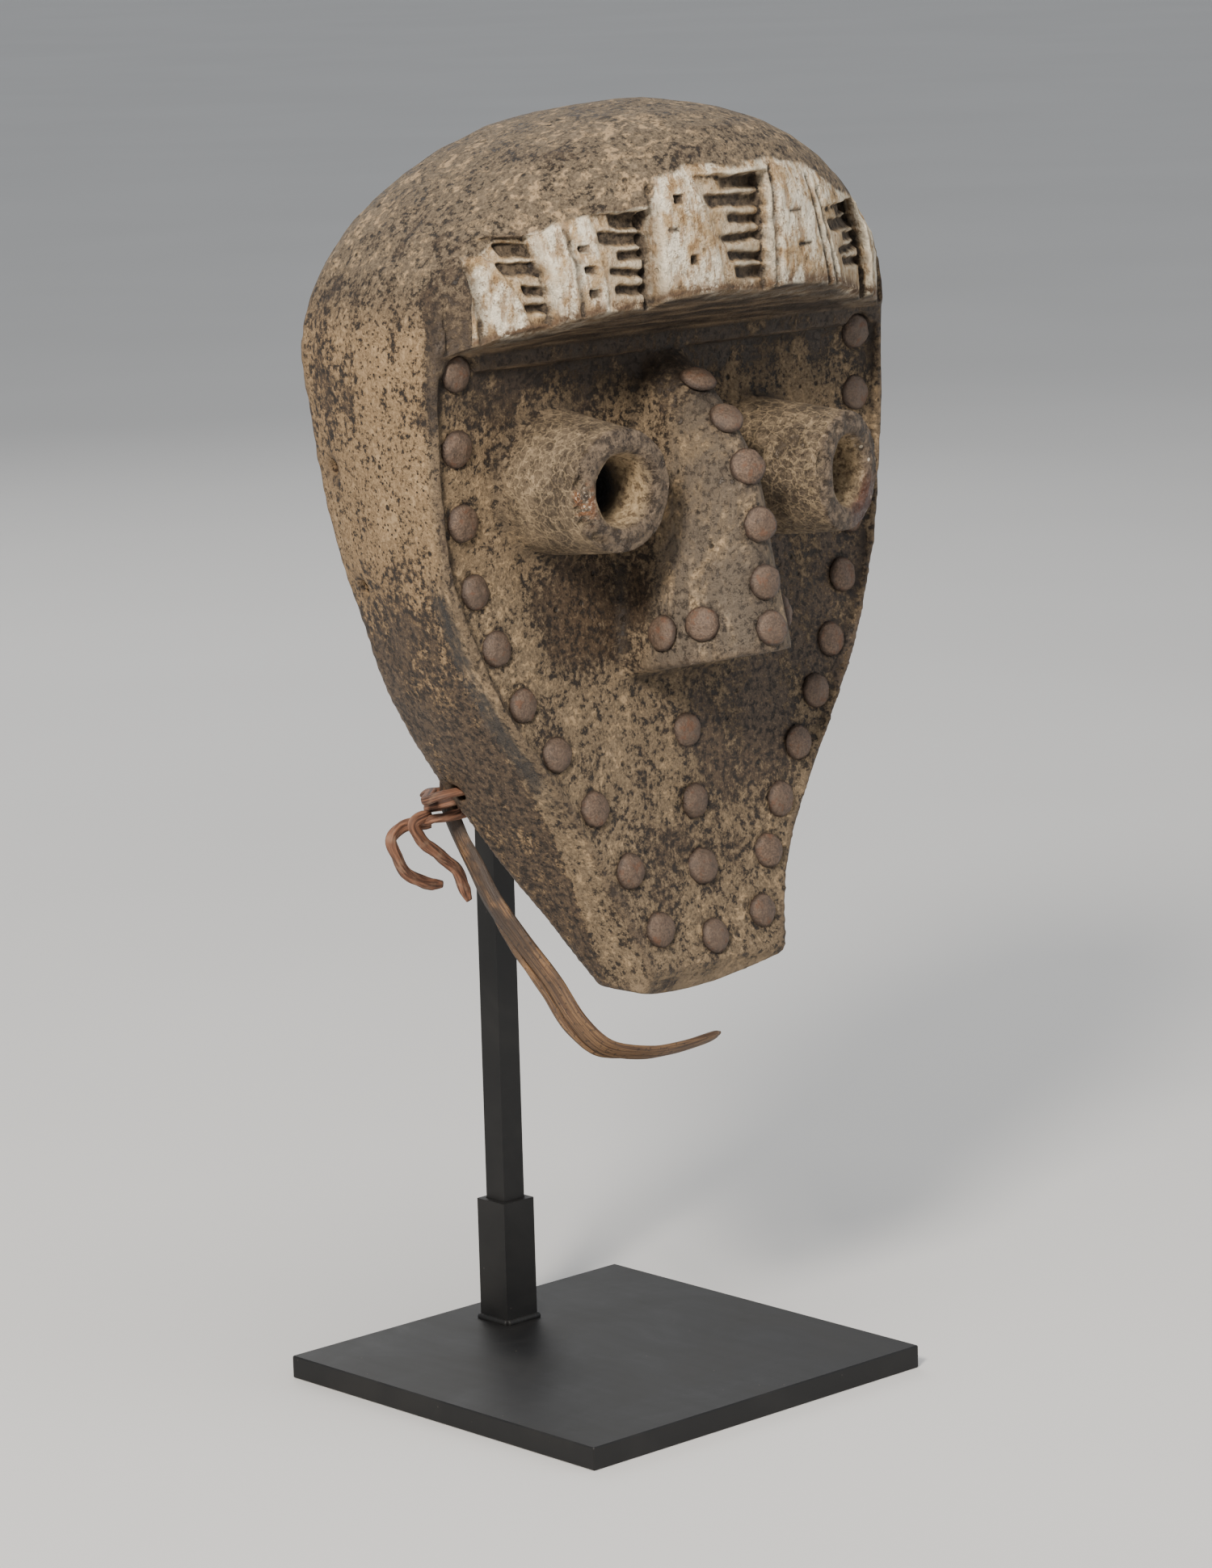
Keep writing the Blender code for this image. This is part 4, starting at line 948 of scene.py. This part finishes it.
    relief = clay * 0.3 + speckle * 0.34 + dust * 0.18 - pit * 0.8 - deep_pit * 1.1 - spots * 0.2
    relief = relief + thick * 0.22 + craze * tube * 0.12 + laid * (stain + runs_down) * 0.4
    relief = relief + streaks * under * 0.5
    polish = form.rise(0.3, 1.4) * (1 - clay)
    shine = bevel * 0.3 + resin * rim * 0.4 + nose * 0.14 + rim * 0.1
    roughness = 0.84 - 0.24 * (1 - clay) - 0.12 * polish + 0.06 * laid - shine
    return set_finish(finish, colour, roughness.kept(), relief, 0.00075, **{"Specular IOR Level": 0.35})


mask.data.materials.append(wood_finish())
mask.data.shade_smooth()
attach(mask, "root")
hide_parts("mask")


# Tacks: domed upholstery tacks of thin iron, driven by hand along the face's border, the nose and the
# chin. They are browned with rust, a little dented, and each sits slightly askew.
TACK_RADIUS, TACK_DOME, TACK_LEAN, TACK_DENT = 0.0053, 0.0026, 0.09, 0.001


def iron_finish():
    finish, place = new_finish("oxidised_iron")
    tone = place.attribute("tone")
    blotch = place.grain(0.003, 5, 0.65)
    fine = place.grain(0.0007, 3, 0.7)
    colour = fine.rise(0.3, 0.7).blend((0.066, 0.041, 0.027), (0.16, 0.105, 0.071))
    colour = painted(
        colour,
        (tone * 0.5, (0.096, 0.068, 0.05)),
        (blotch.rise(0.54, 0.66) * 0.6, (0.13, 0.056, 0.028)),
        (blotch.rise(0.44, 0.34) * 0.6, (0.05, 0.036, 0.027)),
        (place.attribute("brim").rise(0.8, 1.0) * 0.75, (0.022, 0.013, 0.009)),
    )
    roughness = 0.44 + fine * 0.25 + blotch.rise(0.5, 0.65) * 0.15
    return set_finish(finish, colour, roughness, fine + blotch, 0.00035, metallic=0.25)


class Geometry:
    """A Geometry Nodes tree that is built one node at a time."""

    def __init__(self, name, **sizes):
        self.tree = bpy.data.node_groups.new(name, "GeometryNodeTree")
        self.tree.interface.new_socket("Geometry", in_out="INPUT", socket_type="NodeSocketGeometry")
        self.sockets = {}
        for size in sizes:
            socket = self.tree.interface.new_socket(size, in_out="INPUT", socket_type="NodeSocketFloat")
            self.sockets[size] = socket.identifier
        self.tree.interface.new_socket("Geometry", in_out="OUTPUT", socket_type="NodeSocketGeometry")
        self.given = self.tree.nodes.new("NodeGroupInput").outputs
        self.result = self.tree.nodes.new("NodeGroupOutput").inputs[0]
        self.sizes = sizes

    def add(self, kind, settings=None, inputs=None, output=0):
        return add_node(self.tree, kind, settings, inputs).outputs[output]

    def run(self, item):
        """Apply the tree to an object and keep its result as a plain mesh."""
        modifier = item.modifiers.new("made", "NODES")
        modifier.node_group = self.tree
        for size, value in self.sizes.items():
            modifier[self.sockets[size]] = value
        settle(item)


def tack_tree(finish):
    """A dome on each seat, turned to it, with its own lean, dents and tone."""
    tree = Geometry("tack_heads", Radius=TACK_RADIUS, Dome=TACK_DOME, Lean=TACK_LEAN, Dent=TACK_DENT)
    given = tree.given
    ball = tree.add("GeometryNodeMeshUVSphere", None, {"Segments": 28, "Rings": 18, "Radius": 1.0})
    place = tree.add("GeometryNodeInputPosition")
    x, y, z = tree.add("ShaderNodeSeparateXYZ", None, {0: place}).node.outputs
    level = tree.add("ShaderNodeCombineXYZ", None, {0: x, 1: y})
    out = tree.add("ShaderNodeVectorMath", {"operation": "LENGTH"}, {0: level}, 1)
    inputs = {"Geometry": ball, "Name": "brim", "Value": out}
    ball = tree.add("GeometryNodeStoreNamedAttribute", {"data_type": "FLOAT", "domain": "POINT"}, inputs)
    above = tree.add("ShaderNodeMath", {"operation": "MAXIMUM"}, {0: z, 1: -0.06})
    flat_below = tree.add("ShaderNodeCombineXYZ", None, {0: x, 1: y, 2: above})
    ball = tree.add("GeometryNodeSetPosition", None, {"Geometry": ball, "Position": flat_below})
    scale = tree.add("ShaderNodeCombineXYZ", None, {0: given["Radius"], 1: given["Radius"], 2: given["Dome"]})
    dome = tree.add("GeometryNodeTransform", None, {"Geometry": ball, "Scale": scale})
    axis = tree.add("GeometryNodeInputNamedAttribute", {"data_type": "FLOAT_VECTOR"}, {"Name": "axis"})
    less = tree.add("ShaderNodeMath", {"operation": "MULTIPLY"}, {0: given["Lean"], 1: -1.0})
    low = tree.add("ShaderNodeCombineXYZ", None, {0: less, 1: less, 2: less})
    high = tree.add("ShaderNodeCombineXYZ", None, {0: given["Lean"], 1: given["Lean"], 2: given["Lean"]})
    inputs = {"Min": low, "Max": high, "Seed": 5}
    lean = tree.add("FunctionNodeRandomValue", {"data_type": "FLOAT_VECTOR"}, inputs)
    leaning = tree.add("ShaderNodeVectorMath", {"operation": "ADD"}, {0: axis, 1: lean})
    turn = tree.add("FunctionNodeAlignRotationToVector", {"axis": "Z"}, {"Vector": leaning})
    size = tree.add("FunctionNodeRandomValue", {"data_type": "FLOAT"}, {2: 0.93, 3: 1.0, "Seed": 8}, 1)
    inputs = {"Points": given["Geometry"], "Instance": dome, "Rotation": turn, "Scale": size}
    heads = tree.add("GeometryNodeInstanceOnPoints", None, inputs)
    tone = tree.add("FunctionNodeRandomValue", {"data_type": "FLOAT"}, {2: 0.0, 3: 1.0, "Seed": 3}, 1)
    inputs = {"Geometry": heads, "Name": "tone", "Value": tone}
    heads = tree.add("GeometryNodeStoreNamedAttribute", {"data_type": "FLOAT", "domain": "INSTANCE"}, inputs)
    heads = tree.add("GeometryNodeRealizeInstances", None, {"Geometry": heads})
    dents = tree.add("ShaderNodeTexNoise", None, {"Scale": 420.0, "Detail": 1.0}, "Color")
    middle = tree.add("ShaderNodeVectorMath", {"operation": "SUBTRACT"}, {0: dents, 1: (0.5, 0.5, 0.5)})
    moved = tree.add("ShaderNodeVectorMath", {"operation": "SCALE"}, {0: middle, "Scale": given["Dent"]})
    heads = tree.add("GeometryNodeSetPosition", None, {"Geometry": heads, "Offset": moved})
    heads = tree.add("GeometryNodeSetShadeSmooth", None, {"Geometry": heads})
    heads = tree.add("GeometryNodeSetMaterial", None, {"Geometry": heads, "Material": finish})
    tree.tree.links.new(heads, tree.result)
    return tree


seats_mesh = bpy.data.meshes.new("tack_heads")
seats_mesh.from_pydata([tuple(seat) for _, seat, _ in SEATS], [], [])
axes = seats_mesh.attributes.new("axis", "FLOAT_VECTOR", "POINT")
axes.data.foreach_set("vector", np.array([axis for _, _, axis in SEATS], np.float32).ravel())
tacks = new_object("tack_heads", seats_mesh)
tack_tree(iron_finish()).run(tacks)
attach(tacks, "root")
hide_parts(*[name for name, _, _ in SEATS])


# Stand: a plate, a square sleeve welded on it, a thin post and two round arms, all of mild steel under
# satin black paint. The plate has gathered dust.
PLATE_TOP = 0.0067
BEAD_RADIUS, BEAD_STEPS = 0.0011, 24


def steel_finish(name, dusty):
    finish, place = new_finish(name)
    height = place.add("ShaderNodeSeparateXYZ", None, {0: place}, "Z")
    film = place.grain(0.035, 5, 0.62, 0.8)
    brushed = place.moved((1, 0.12, 1)).grain(0.004, 3)
    specks = place.cells(0.0052).rise(0.055, 0.03) * place.grain(0.03, 2).rise(0.46, 0.62)
    fluff = place.cells(0.0023).rise(0.05, 0.025) * place.grain(0.02, 2).rise(0.52, 0.66)
    colour = film.rise(0.4, 0.72).blend((0.006, 0.006, 0.0062), (0.0135, 0.013, 0.0125))
    top = height.rise(PLATE_TOP - 0.0001, PLATE_TOP + 0.0001)
    dust = (specks.over(fluff) * (0.35 + 0.65 * top) * dusty).kept()
    colour = (dust * 0.75).blend(colour, (0.2, 0.175, 0.145))
    roughness = 0.36 + film * 0.3 + brushed * 0.06 + dust * 0.3
    relief = brushed * 0.4 + film + dust * 2
    return set_finish(finish, colour, roughness, relief, 0.00006, **{"Specular IOR Level": 0.32})


def felt_finish():
    finish, place = new_finish("black_felt")
    hair = place.grain(0.0006, 4, 0.75)
    colour = hair.rise(0.3, 0.7).blend((0.008, 0.008, 0.008), (0.045, 0.043, 0.04))
    return set_finish(finish, colour, 0.95, hair, 0.0005)


PLATE = steel_finish("black_plate", 1.0)
BAR = steel_finish("black_bar", 0.35)
PAD = felt_finish()
for name, finish in (
    ("base_plate", PLATE), ("post", BAR), ("post_sleeve", BAR), ("upper_arm", BAR), ("lower_arm", BAR),
    ("crown_pad", PAD), ("chin_pad", PAD),
):
    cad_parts[name].data.materials.clear()
    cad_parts[name].data.materials.append(finish)


def bead_section(share, turn):
    """The ripples of a seam of weld metal, painted over with the rest."""
    ripple = 1 + 0.16 * abs(math.sin(110 * share)) + 0.1 * noise.noise(Vector((turn, 40 * share, 3)))
    return BEAD_RADIUS * ripple * 0.85, BEAD_RADIUS * ripple


low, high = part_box("post_sleeve")
corners = [(low.x, low.y), (high.x, low.y), (high.x, high.y), (low.x, high.y)]
seam = []
for (x, y), (next_x, next_y) in zip(corners, corners[1:] + corners[:1]):
    for share in (k / BEAD_STEPS for k in range(BEAD_STEPS)):
        seam.append((x + (next_x - x) * share, y + (next_y - y) * share, low.z + 0.0001))
seam = np.array(seam + seam[:1])
skinned("weld_bead", [strand(seam, bead_section, (0, 0, 1))], BAR, "black_steel")


# Room: a plain pale floor without an end, one large soft light at the upper left, and weak light from
# above, from the right, from behind and from all round.
FLOOR_REACH = 20.0
floor_mesh = bpy.data.meshes.new("floor")
corners = [(x * FLOOR_REACH, y * FLOOR_REACH, 0) for x, y in ((-1, -1), (1, -1), (1, 1), (-1, 1))]
floor_mesh.from_pydata(corners, [], [(0, 1, 2, 3)])
floor = new_object("floor", floor_mesh)
pale, ground = new_finish("pale_floor")
colour = ground.grain(0.4, 2).rise(0.2, 0.8).blend((0.6, 0.595, 0.585), (0.63, 0.625, 0.615))
floor_mesh.materials.append(set_finish(pale, colour, 0.75))


def soft_light(name, place, aim, size, power, colour):
    lamp = bpy.data.lights.new(name, "AREA")
    lamp.shape = "DISK"
    lamp.size = size
    lamp.energy = power
    lamp.color = colour
    turned = (Vector(aim) - Vector(place)).to_track_quat("-Z", "Y").to_matrix().to_4x4()
    new_object(name, lamp).matrix_world = Matrix.Translation(place) @ turned


HEAD = (0, -0.02, 0.25)
soft_light("key", (-1.45, -0.85, 1.3), HEAD, 0.4, 60, (1.0, 0.93, 0.84))
soft_light("top", (-0.2, -0.5, 1.9), HEAD, 0.9, 14, (1.0, 0.97, 0.93))
soft_light("fill", (1.6, -1.2, 0.7), HEAD, 1.4, 7, (0.93, 0.96, 1.0))
soft_light("back", (0.8, 1.6, 1.2), HEAD, 1.2, 10, (1.0, 0.98, 0.95))
world = bpy.data.worlds.new("room")
world.use_nodes = True
background = world.node_tree.nodes["Background"]
background.inputs["Color"].default_value = (0.86, 0.89, 0.93, 1)
background.inputs["Strength"].default_value = 0.54
bpy.context.scene.world = world
bpy.context.scene.view_settings.view_transform = "AgX"

bpy.context.view_layer.update()
